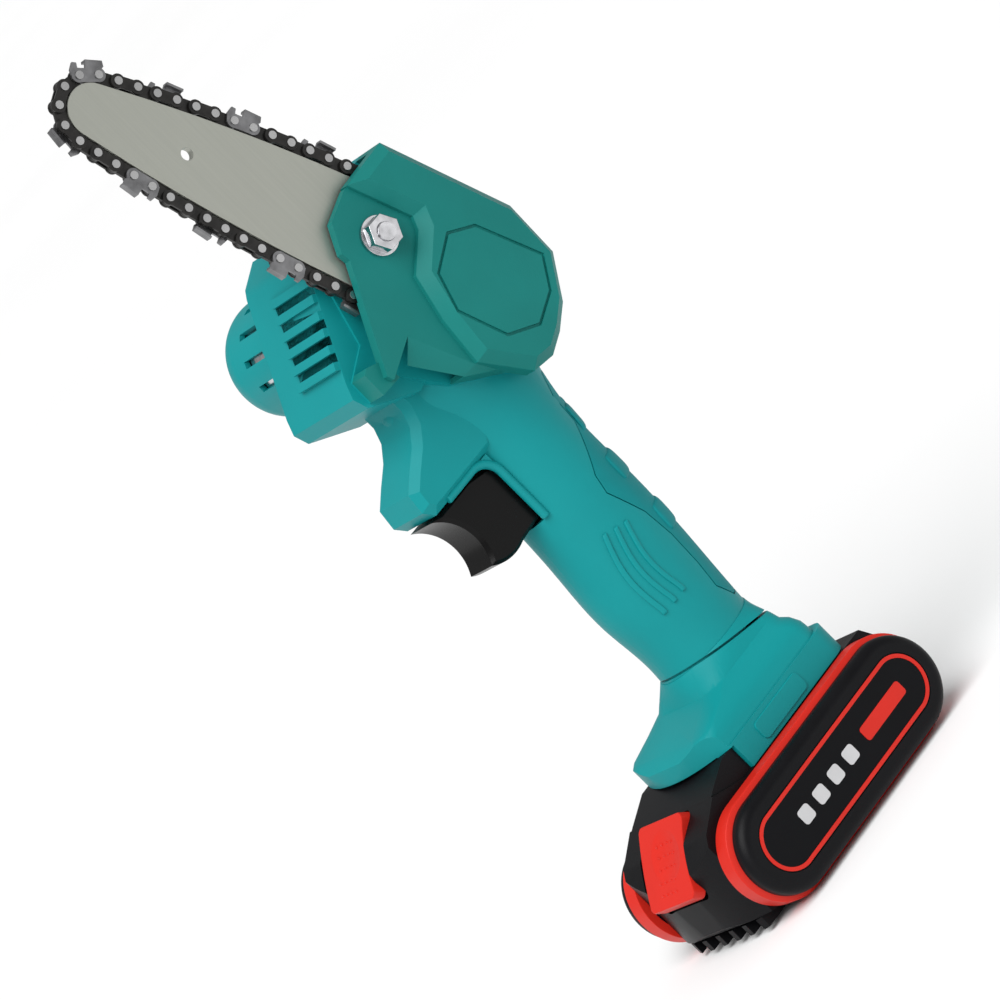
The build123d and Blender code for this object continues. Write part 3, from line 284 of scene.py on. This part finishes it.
pale_floor = mottled("pale_floor", (0.92, 0.92, 0.92), 0.75, grain=0.0, shift=0.01, mottle_scale=2.0)
floor.data.materials.append(pale_floor)

FINISH_OF = {
    "teal_plastic": teal_plastic, "cover_plastic": cover_plastic, "grip_rubber": soft_grip,
    "black_plastic": gloss_black, "battery_plastic": battery_black, "red_plastic": signal_red,
    "label_film": label_black, "bar_steel": bar_steel, "chain_steel": chain_black,
    "cutter_steel": cutter_chrome, "rivet_steel": rivet_steel, "zinc_steel": zinc,
    "dark_steel": dark_steel, "gear_steel": gear_steel, "plate_alloy": cast_alloy, "copper": copper,
    "brass": brass, "magnet": ferrite, "carbon": carbon, "fan_plastic": fan_grey,
    "cell_sleeve": cell_blue, "board": board_green,
}
SLOT_OF = {part["node"]: part["material_slot"] for part in frame["record"]["subparts"]}
for name, node in NODES.items():
    node.data.materials.clear()
    node.data.materials.append(FINISH_OF[SLOT_OF[name]])
print("finished parts:", len(SLOT_OF))

# %% [markdown]
# ## Rounded edges
# No moulded or stamped edge is perfectly sharp: a small radius catches a line of light along it, and
# that line tells the eye that the part is real. A mechanical part comes in as loose triangles. A copy
# is welded, its flat faces are joined again, and a bevel of fitting size is laid along its edges.

# %% Edge rounding
BODIES = frame["record"]["behaviour"]["bodies"]
BODY_OF = {member: body for body, members in BODIES.items() for member in members}
WELD_GAP = 0.004 * MM
FLAT_ANGLE = radians(1.0)
SMOOTH_ANGLE = radians(32.0)
FACE_WEIGHT = 70


def welded_copy(node_name):
    """Copy of a part with its triangles welded and its flat faces joined."""
    source = NODES[node_name]
    piece = source.copy()
    piece.data = source.data.copy()
    piece.name = node_name + "_finished"
    piece.parent = None
    for key in list(piece.keys()):
        del piece[key]
    bpy.context.scene.collection.objects.link(piece)
    pick(piece)
    bpy.ops.object.mode_set(mode="EDIT")
    bpy.ops.mesh.select_all(action="SELECT")
    bpy.ops.mesh.remove_doubles(threshold=WELD_GAP)
    bpy.ops.mesh.dissolve_limited(angle_limit=FLAT_ANGLE)
    bpy.ops.object.mode_set(mode="OBJECT")
    return piece


def round_edges(piece, radius, sharp=30.0, steps=2):
    """Bevels the sharp edges and shades the rest smooth."""
    pick(piece)
    bevel = piece.modifiers.new("edge_radius", "BEVEL")
    bevel.width = radius
    bevel.segments = steps
    bevel.limit_method = "ANGLE"
    bevel.angle_limit = radians(sharp)
    bevel.use_clamp_overlap = True
    bevel.harden_normals = False
    bevel.miter_outer = "MITER_ARC"
    bpy.ops.object.modifier_apply(modifier=bevel.name)
    bpy.ops.object.shade_smooth_by_angle(angle=SMOOTH_ANGLE)
    even = piece.modifiers.new("even_faces", "WEIGHTED_NORMAL")
    even.weight = FACE_WEIGHT
    even.keep_sharp = True
    bpy.ops.object.modifier_apply(modifier=even.name)


def finish_part(node_name, radius, sharp=30.0, steps=2):
    """Puts a rounded copy of a part in the part's place."""
    piece = welded_copy(node_name)
    round_edges(piece, radius, sharp, steps)
    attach(piece, BODY_OF[node_name])
    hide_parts(node_name)
    return piece


# Radii in millimetres.
EDGE_RADII = {
    "sprocket_cover": 0.8, "motor_housing": 0.45, "motor_cap": 0.4, "cover_side_shell": 0.5,
    "motor_side_shell": 0.5, "rear_grip": 0.35, "trigger": 0.5, "release_button": 0.5,
    "battery_case": 0.6, "battery_band_near": 0.25, "battery_band_far": 0.25, "bar_nut": 0.3,
    "bar_stud": 0.3, "chain_rivets": 0.2, "chain_tie_straps": 0.12, "chain_cutters": 0.15,
    "chain_drive_links": 0.12, "guide_bar": 0.15, "body_screws": 0.2,
}
finished = {}
for name, radius in EDGE_RADII.items():
    finished[name] = finish_part(name, radius * MM)
    print(name, "faces", len(finished[name].data.polygons))

# %% [markdown]
# ## Ring and charge gauge on the battery's labels
# Each end of the battery carries a black label with a raised red ring round it. A filled circle
# becomes a stadium when its two halves are moved apart. Its face is inset by the ring's width, the
# middle is taken out, and what is left is drawn out from the label. A plain charge gauge of four
# pale squares and a red bar fills the label.

# %% Label ring
RING_INSET = 0.2 * MM
RING_WIDE = 1.3 * MM
RING_HIGH = 0.25 * MM
RING_POINTS = 64
RING_EDGE_SHARE = 0.35
OFF_MIDDLE = 0.01 * MM


def select_verts(piece, test):
    """Selects the vertices of a piece in edit mode that pass a test on their place."""
    bpy.ops.mesh.select_all(action="DESELECT")
    mesh = bmesh.from_edit_mesh(piece.data)
    for vert in mesh.verts:
        vert.select = test(vert.co)
    mesh.select_flush(True)
    bmesh.update_edit_mesh(piece.data)


def settle(piece, body, finish):
    """Bakes a new piece's place into its mesh, gives it its finish and lets it ride on a body."""
    pick(piece)
    bpy.ops.object.transform_apply(location=True, rotation=True, scale=True)
    piece.data.materials.clear()
    piece.data.materials.append(finish)
    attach(piece, body)


def stadium_ring(name, centre, half_straight, radius, width, height, side):
    """Flat ring with round ends, standing out of a label."""
    deselect_all()
    bpy.ops.mesh.primitive_circle_add(vertices=RING_POINTS, radius=radius, fill_type="NGON", location=centre,
                                      rotation=(radians(90.0), 0.0, 0.0))
    ring = bpy.context.object
    ring.name = name
    bpy.ops.object.transform_apply(location=True, rotation=True, scale=True)
    bpy.ops.object.mode_set(mode="EDIT")
    for way in (-1, 1):
        select_verts(ring, lambda co: way * (co.x - centre[0]) > OFF_MIDDLE)
        bpy.ops.transform.translate(value=(way * half_straight, 0.0, 0.0))
    bpy.ops.mesh.select_all(action="SELECT")
    bpy.ops.mesh.inset(thickness=width, depth=0.0)
    bpy.ops.mesh.delete(type="FACE")
    bpy.ops.mesh.select_all(action="SELECT")
    bpy.ops.mesh.extrude_region_move(TRANSFORM_OT_translate={"value": (0.0, side * height, 0.0)})
    bpy.ops.mesh.select_all(action="SELECT")
    bpy.ops.mesh.normals_make_consistent(inside=False)
    bpy.ops.object.mode_set(mode="OBJECT")
    round_edges(ring, height * RING_EDGE_SHARE)
    return ring


label_low, label_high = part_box("battery_label_near")
LABEL_R = (label_high.z - label_low.z) / 2
LABEL_STRAIGHT = (label_high.x - label_low.x) / 2 - LABEL_R
for tag, side in (("near", -1), ("far", 1)):
    low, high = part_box("battery_label_" + tag)
    face_y = low.y if side < 0 else high.y
    centre = ((low.x + high.x) / 2, face_y, (low.z + high.z) / 2)
    ring = stadium_ring("label_ring_" + tag, centre, LABEL_STRAIGHT, LABEL_R - RING_INSET, RING_WIDE,
                        RING_HIGH, side)
    settle(ring, "battery", signal_red)
    print(ring.name, "at y", round(face_y, 4))

# %% [markdown]
# ## Charge gauge
# The gauge is printed, so it is almost flat: thin tiles with softened corners. One tile is modelled
# and then copied along the label.

# %% Charge gauge
TILE_THICK = 0.3 * MM
TILE_LIFT = 0.1 * MM
TILE_SIZE = 5.2 * MM
TILE_START = 3.0 * MM
TILE_PITCH = 8.5 * MM
TILE_COUNT = 4
TILE_EDGE = 0.08 * MM
CORNER_SHARE = 0.22
GAUGE_BAR_LONG = 22 * MM
GAUGE_BAR_TALL = 5.0 * MM
GAUGE_BAR_SHIFT = 22 * MM
gauge_white = mottled("gauge_white", (0.55, 0.55, 0.56), 0.4, grain=0.03, shift=0.05, shine=0.3)


def rounded_plate(name, centre, size, corner, corner_steps, edge):
    """Plate that faces along Y, with its four corners and then all its edges rounded."""
    deselect_all()
    bpy.ops.mesh.primitive_cube_add(size=1.0, location=centre)
    plate = bpy.context.object
    plate.name = name
    plate.scale = size
    bpy.ops.object.transform_apply(location=True, rotation=True, scale=True)
    bpy.ops.object.mode_set(mode="EDIT")
    bpy.ops.mesh.select_all(action="DESELECT")
    mesh = bmesh.from_edit_mesh(plate.data)
    for line in mesh.edges:
        along = line.verts[0].co - line.verts[1].co
        line.select = abs(along.y) > abs(along.x) + abs(along.z)
    bmesh.update_edit_mesh(plate.data)
    bpy.ops.mesh.bevel(offset=corner, segments=corner_steps)
    bpy.ops.object.mode_set(mode="OBJECT")
    round_edges(plate, edge)
    return plate


def label_tile(name, centre, wide, tall):
    """Thin rounded tile on a label."""
    return rounded_plate(name, centre, (wide, TILE_THICK, tall), min(wide, tall) * CORNER_SHARE, 4, TILE_EDGE)


for tag, side in (("near", -1), ("far", 1)):
    low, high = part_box("battery_label_" + tag)
    face_y = (low.y if side < 0 else high.y) + side * TILE_LIFT
    mid_x, mid_z = (low.x + high.x) / 2, (low.z + high.z) / 2
    bar_centre = (mid_x - side * GAUGE_BAR_SHIFT, face_y, mid_z)
    bar = label_tile("gauge_bar_" + tag, bar_centre, GAUGE_BAR_LONG, GAUGE_BAR_TALL)
    settle(bar, "battery", signal_red)
    for n in range(TILE_COUNT):
        x = mid_x - side * (TILE_START - TILE_PITCH * n)
        tile = label_tile(f"gauge_tile_{tag}_{n + 1}", (x, face_y, mid_z), TILE_SIZE, TILE_SIZE)
        settle(tile, "battery", gauge_white)
print("gauges done")

# %% [markdown]
# ## Ribs on the side of the handle
# Three curved ribs on each side of the handle stop the palm from sliding. Each is a strip, drawn
# from an edge by extruding it step by step along an arc, laid on the handle by projecting it sideways
# (a shrinkwrap), then given a thickness and round edges.

# %% Handle ribs
shell_tops = {-1: finished["cover_side_shell"], 1: finished["motor_side_shell"]}
RIB_STEPS = 12
RIB_WIDE = 1.7 * MM
RIB_HIGH = 0.7 * MM
RIB_EDGE = 0.42 * MM
RIB_START_Y = 40 * MM    # well outside the handle, to be laid on it from there


def snap_missed(piece, target):
    """Puts the points that a projection missed on the nearest place of the surface."""
    pick(piece)
    snap = piece.modifiers.new("snap_missed", "SHRINKWRAP")
    snap.wrap_method = "NEAREST_SURFACEPOINT"
    snap.target = target
    bpy.ops.object.modifier_apply(modifier=snap.name)


def thicken(piece, high):
    """Gives a laid strip its wall, as high above the surface as it goes below it."""
    wall = piece.modifiers.new("wall", "SOLIDIFY")
    wall.thickness = 2 * high
    wall.offset = 0.0
    bpy.ops.object.modifier_apply(modifier=wall.name)
    bpy.ops.object.mode_set(mode="EDIT")
    bpy.ops.mesh.select_all(action="SELECT")
    bpy.ops.mesh.normals_make_consistent(inside=False)
    bpy.ops.object.mode_set(mode="OBJECT")


def handle_rib(name, side, low, high, bow):
    """Curved rib on the side of the handle between two places, bowed towards the front."""
    deselect_all()
    low_x, low_z = low
    high_x, high_z = high
    start = Vector((low_x, side * RIB_START_Y, low_z))
    bpy.ops.mesh.primitive_plane_add(size=RIB_WIDE, location=start, rotation=(radians(90.0), 0.0, 0.0))
    rib = bpy.context.object
    rib.name = name
    bpy.ops.object.transform_apply(location=True, rotation=True, scale=True)
    bpy.ops.object.mode_set(mode="EDIT")
    select_verts(rib, lambda co: co.z > low_z)
    last_x = 0.0
    step_z = (high_z - low_z - RIB_WIDE) / RIB_STEPS
    for n in range(1, RIB_STEPS + 1):
        here_x = (high_x - low_x) * n / RIB_STEPS - bow * sin(pi * n / RIB_STEPS)
        bpy.ops.mesh.extrude_region_move(
            TRANSFORM_OT_translate={"value": (here_x - last_x, 0.0, step_z)})
        last_x = here_x
    bpy.ops.mesh.select_all(action="SELECT")
    bpy.ops.mesh.subdivide(number_cuts=1)
    bpy.ops.object.mode_set(mode="OBJECT")
    lay = rib.modifiers.new("lay_on_handle", "SHRINKWRAP")
    lay.wrap_method = "PROJECT"
    lay.use_project_y = True
    lay.use_negative_direction = True
    lay.use_positive_direction = True
    lay.target = shell_tops[side]
    bpy.ops.object.modifier_apply(modifier=lay.name)
    snap_missed(rib, shell_tops[side])
    thicken(rib, RIB_HIGH)
    round_edges(rib, RIB_EDGE, sharp=45.0, steps=3)
    return rib


# Lower and upper end of each rib, as X and Z in millimetres of the part's own drawing.
RIB_ENDS = (
    ((7.0, 84.8), (10.7, 115.3)),
    ((11.3, 85.1), (14.5, 114.2)),
    ((15.7, 85.4), (18.3, 113.1)),
)
RIB_BOW = 2.4 * MM
RIBS_END_Z = 120.0       # above every rib, so it shortens none
SCREW_CLEAR_Z = 110.0    # a screw's bore opens above this height on the far side
SHIFT_X = -2.05 * MM     # from the part's own drawing to the frame
for tag, side, highest in (("near", -1, RIBS_END_Z), ("far", 1, SCREW_CLEAR_Z)):
    for n, ((low_x, low_z), (high_x, high_z)) in enumerate(RIB_ENDS):
        low = (low_x * MM + SHIFT_X, low_z * MM)
        high = (high_x * MM + SHIFT_X, min(high_z, highest) * MM)
        rib = handle_rib(f"handle_rib_{tag}_{n + 1}", side, low, high, RIB_BOW)
        settle(rib, "body", teal_plastic)
        ys = [v.co.y / MM for v in rib.data.vertices]
        print(rib.name, "y", round(min(ys), 1), "to", round(max(ys), 1))

# %% [markdown]
# ## Panel on the side of the foot
# A shallow rounded plate lies on each side of the foot, above the battery.

# %% Foot panels
PANEL_X = (-7.0 * MM, 17.0 * MM)
PANEL_Z = (38.0 * MM, 44.6 * MM)
PANEL_THICK = 1.4 * MM
PANEL_SUNK = 0.1 * MM
PANEL_CORNER = 1.8 * MM
PANEL_EDGE = 0.35 * MM
FOOT_HALF = 26.0 * MM
MIDLINE_Y = -11.5 * MM


def foot_panel(name, side):
    """Rounded plate on the side of the foot."""
    place = (sum(PANEL_X) / 2 + SHIFT_X, MIDLINE_Y + side * (FOOT_HALF - PANEL_SUNK), sum(PANEL_Z) / 2)
    size = (PANEL_X[1] - PANEL_X[0], PANEL_THICK, PANEL_Z[1] - PANEL_Z[0])
    return rounded_plate(name, place, size, PANEL_CORNER, 5, PANEL_EDGE)


for tag, side in (("near", -1), ("far", 1)):
    settle(foot_panel("foot_panel_" + tag, side), "body", teal_plastic)
print("foot panels done")

# %% [markdown]
# ## Lip of the trigger's opening
# The shells end round the trigger in a rounded rim. It starts as a circle, the section of the rim,
# which is extruded along the guard, spun round the corner and extruded down the handle. The corner
# behind it is filled by a small block, from which a cylinder takes the round away.

# %% Trigger lip
LIP_R = 1.5 * MM
LIP_START_X = -18.5 * MM
CORNER_X = 1.9 * MM
CORNER_Z = 157.4 * MM
CORNER_R = 7.4 * MM
LIP_END_Z = 130.6 * MM
LIP_POINTS = 20
LIP_SPIN_STEPS = 12
LIP_WELD = 0.002 * MM
LIP_EDGE = 0.6 * MM
FILL_THICK = 1.6 * MM
FILL_EDGE = 0.15 * MM
CUTTER_LONG = 6 * MM
trigger_low, trigger_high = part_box("trigger")
SIDE_GAP = 0.3 * MM


def ring_mesh(name, place):
    """Filled circle that faces along X, ready to be drawn out into a rim."""
    deselect_all()
    bpy.ops.mesh.primitive_circle_add(vertices=LIP_POINTS, radius=LIP_R, fill_type="NGON", location=place,
                                      rotation=(0.0, radians(90.0), 0.0))
    rim = bpy.context.object
    rim.name = name
    bpy.ops.object.transform_apply(location=True, rotation=True, scale=True)
    return rim


def corner_fill(name, middle_y):
    """Fills the square corner of the opening up to its round."""
    deselect_all()
    round_x, round_z = CORNER_X - CORNER_R, CORNER_Z - CORNER_R
    place = (round_x + CORNER_R / 2, middle_y, round_z + CORNER_R / 2)
    bpy.ops.mesh.primitive_cube_add(size=1.0, location=place)
    block = bpy.context.object
    block.name = name
    block.scale = (CORNER_R, FILL_THICK, CORNER_R)
    bpy.ops.object.transform_apply(location=True, rotation=True, scale=True)
    deselect_all()
    bpy.ops.mesh.primitive_cylinder_add(vertices=64, radius=CORNER_R, depth=CUTTER_LONG,
                                        location=(round_x, middle_y, round_z),
                                        rotation=(radians(90.0), 0.0, 0.0))
    cutter = bpy.context.object
    pick(block)
    cut = block.modifiers.new("round_cut", "BOOLEAN")
    cut.operation = "DIFFERENCE"
    cut.solver = "EXACT"
    cut.object = cutter
    bpy.ops.object.modifier_apply(modifier=cut.name)
    bpy.data.objects.remove(cutter, do_unlink=True)
    return block


def trigger_lip(name, middle_y):
    """Rounded rim along the guard, round the corner and down the handle."""
    rim = ring_mesh(name, (LIP_START_X, middle_y, CORNER_Z))
    bpy.ops.object.mode_set(mode="EDIT")
    bpy.ops.mesh.select_all(action="SELECT")
    bpy.ops.mesh.extrude_region_move(
        TRANSFORM_OT_translate={"value": (CORNER_X - CORNER_R - LIP_START_X, 0.0, 0.0)})
    centre = (CORNER_X - CORNER_R, middle_y, CORNER_Z - CORNER_R)
    bpy.ops.mesh.spin(steps=LIP_SPIN_STEPS, angle=radians(90.0), center=centre, axis=(0.0, -1.0, 0.0))
    bpy.ops.mesh.extrude_region_move(
        TRANSFORM_OT_translate={"value": (0.0, 0.0, LIP_END_Z - (CORNER_Z - CORNER_R))})
    bpy.ops.mesh.select_all(action="SELECT")
    bpy.ops.mesh.remove_doubles(threshold=LIP_WELD)
    bpy.ops.mesh.normals_make_consistent(inside=False)
    bpy.ops.object.mode_set(mode="OBJECT")
    round_edges(rim, LIP_EDGE, sharp=50.0, steps=3)
    fill = corner_fill(name + "_corner", middle_y)
    round_edges(fill, FILL_EDGE)
    pick(rim)
    fill.select_set(True)
    bpy.ops.object.join()
    return rim


NEAR_LIP_Y = trigger_low.y - SIDE_GAP - LIP_R
FAR_LIP_Y = trigger_high.y + SIDE_GAP + LIP_R
for tag, middle_y in (("near", NEAR_LIP_Y), ("far", FAR_LIP_Y)):
    lip = trigger_lip("trigger_lip_" + tag, middle_y)
    settle(lip, "body", teal_plastic)
    xs = [v.co.x / MM for v in lip.data.vertices]
    zs = [v.co.z / MM for v in lip.data.vertices]
    print(lip.name, "x", round(min(xs), 1), round(max(xs), 1), "z", round(min(zs), 1), round(max(zs), 1))

# %% [markdown]
# ## Dots on the release button
# Small domes keep the thumb from slipping off the button. One dome is a flattened ball. Its copies
# are put where a straight line along +X meets the button.

# %% Button dots
DOT_R = 0.6 * MM
DOT_PITCH = 2.7 * MM
DOT_ROWS, DOT_COLUMNS = 5, 4
DOT_FLATNESS = 0.45
START_OUT = 10 * MM    # how far outside a surface a projection on it starts
button_low, button_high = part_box("release_button")
button_piece = finished["release_button"]
deselect_all()
bpy.ops.mesh.primitive_uv_sphere_add(segments=12, ring_count=8, radius=DOT_R)
dome = bpy.context.object
dome.name = "button_dots"
dome.scale = (DOT_FLATNESS, 1.0, 1.0)
bpy.ops.object.transform_apply(location=True, rotation=True, scale=True)
bpy.ops.object.shade_smooth()
dots = []
for row in range(DOT_ROWS):
    for column in range(DOT_COLUMNS):
        y = (button_low.y + button_high.y) / 2 + (column - (DOT_COLUMNS - 1) / 2) * DOT_PITCH
        z = (button_low.z + button_high.z) / 2 + (row - (DOT_ROWS - 1) / 2) * DOT_PITCH
        start = Vector((button_low.x - START_OUT, y, z))
        hit, spot, _, _ = button_piece.ray_cast(start, Vector((1.0, 0.0, 0.0)))
        if hit:
            dot = dome.copy()
            dot.data = dome.data.copy()
            bpy.context.scene.collection.objects.link(dot)
            dot.location = spot
            dots.append(dot)
bpy.data.objects.remove(dome, do_unlink=True)
pick(dots[0])
for dot in dots[1:]:
    dot.select_set(True)
bpy.ops.object.join()
button_dots = bpy.context.object
button_dots.name = "button_dots"
settle(button_dots, "button", signal_red)
print("button dots", len(dots))

# %% [markdown]
# ## Ridges across the back of the grip
# Three soft swellings across the soft grip give the palm a hold. Each is a strip across the back,
# laid on the grip by a projection along X, thickened, and rounded by a subdivision surface.

# %% Grip ridges
RIDGE_ROWS = (143.0, 124.0, 103.0)    # heights in millimetres
RIDGE_HALF = 9.0 * MM
RIDGE_STEPS = 14
RIDGE_WIDE = 10.0 * MM
RIDGE_HIGH = 0.8 * MM
RIDGE_TUCK = 0.8    # share of the width that the first edge is drawn back
grip_low, grip_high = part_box("rear_grip")
GRIP_Y = (grip_low.y + grip_high.y) / 2


def grip_ridge(name, level):
    """Soft swelling across the back of the grip."""
    deselect_all()
    start = Vector((grip_high.x + START_OUT, GRIP_Y - RIDGE_HALF, level))
    bpy.ops.mesh.primitive_plane_add(size=RIDGE_WIDE, location=start, rotation=(0.0, radians(90.0), 0.0))
    ridge = bpy.context.object
    ridge.name = name
    bpy.ops.object.transform_apply(location=True, rotation=True, scale=True)
    bpy.ops.object.mode_set(mode="EDIT")
    select_verts(ridge, lambda co: co.y > start.y)
    bpy.ops.transform.translate(value=(0.0, -RIDGE_WIDE * RIDGE_TUCK, 0.0))
    step_y = 2 * RIDGE_HALF / RIDGE_STEPS
    for n in range(RIDGE_STEPS):
        bpy.ops.mesh.extrude_region_move(TRANSFORM_OT_translate={"value": (0.0, step_y, 0.0)})
    bpy.ops.mesh.select_all(action="SELECT")
    bpy.ops.mesh.subdivide(number_cuts=1)
    bpy.ops.object.mode_set(mode="OBJECT")
    lay = ridge.modifiers.new("lay_on_grip", "SHRINKWRAP")
    lay.wrap_method = "PROJECT"
    lay.use_project_x = True
    lay.use_negative_direction = True
    lay.use_positive_direction = False
    lay.target = finished["rear_grip"]
    bpy.ops.object.modifier_apply(modifier=lay.name)
    snap_missed(ridge, finished["rear_grip"])
    thicken(ridge, RIDGE_HIGH)
    soft = ridge.modifiers.new("soft_form", "SUBSURF")
    soft.levels = 2
    soft.render_levels = 2
    bpy.ops.object.modifier_apply(modifier=soft.name)
    bpy.ops.object.shade_smooth()
    return ridge


for n, level in enumerate(RIDGE_ROWS):
    ridge = grip_ridge(f"grip_ridge_{n + 1}", level * MM)
    settle(ridge, "body", soft_grip)
    print(ridge.name, "x up to", round(max(v.co.x for v in ridge.data.vertices) / MM, 1))

# %% [markdown]
# ## Springs
# The trigger and the release button each press a coil spring against a fixed seat, the end at
# the larger X. Each spring is only a welded copy of its part, shaded smooth and carried by its body:
# it keeps its full length when its joint travels, so it cuts into the button when that is fully
# pressed.

# %% Springs
TRIGGER_TRAVEL = 6.0 * MM
BUTTON_TRAVEL = 2.5 * MM
COIL_SMOOTH_ANGLE = radians(50.0)
for name, joint, travel in (("trigger_spring", "trigger_slide", TRIGGER_TRAVEL),
                            ("button_spring", "button_press", BUTTON_TRAVEL)):
    low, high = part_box(name)
    spring = welded_copy(name)
    bpy.ops.object.shade_smooth_by_angle(angle=COIL_SMOOTH_ANGLE)
    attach(spring, BODY_OF[name])
    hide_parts(name)
    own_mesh(spring)
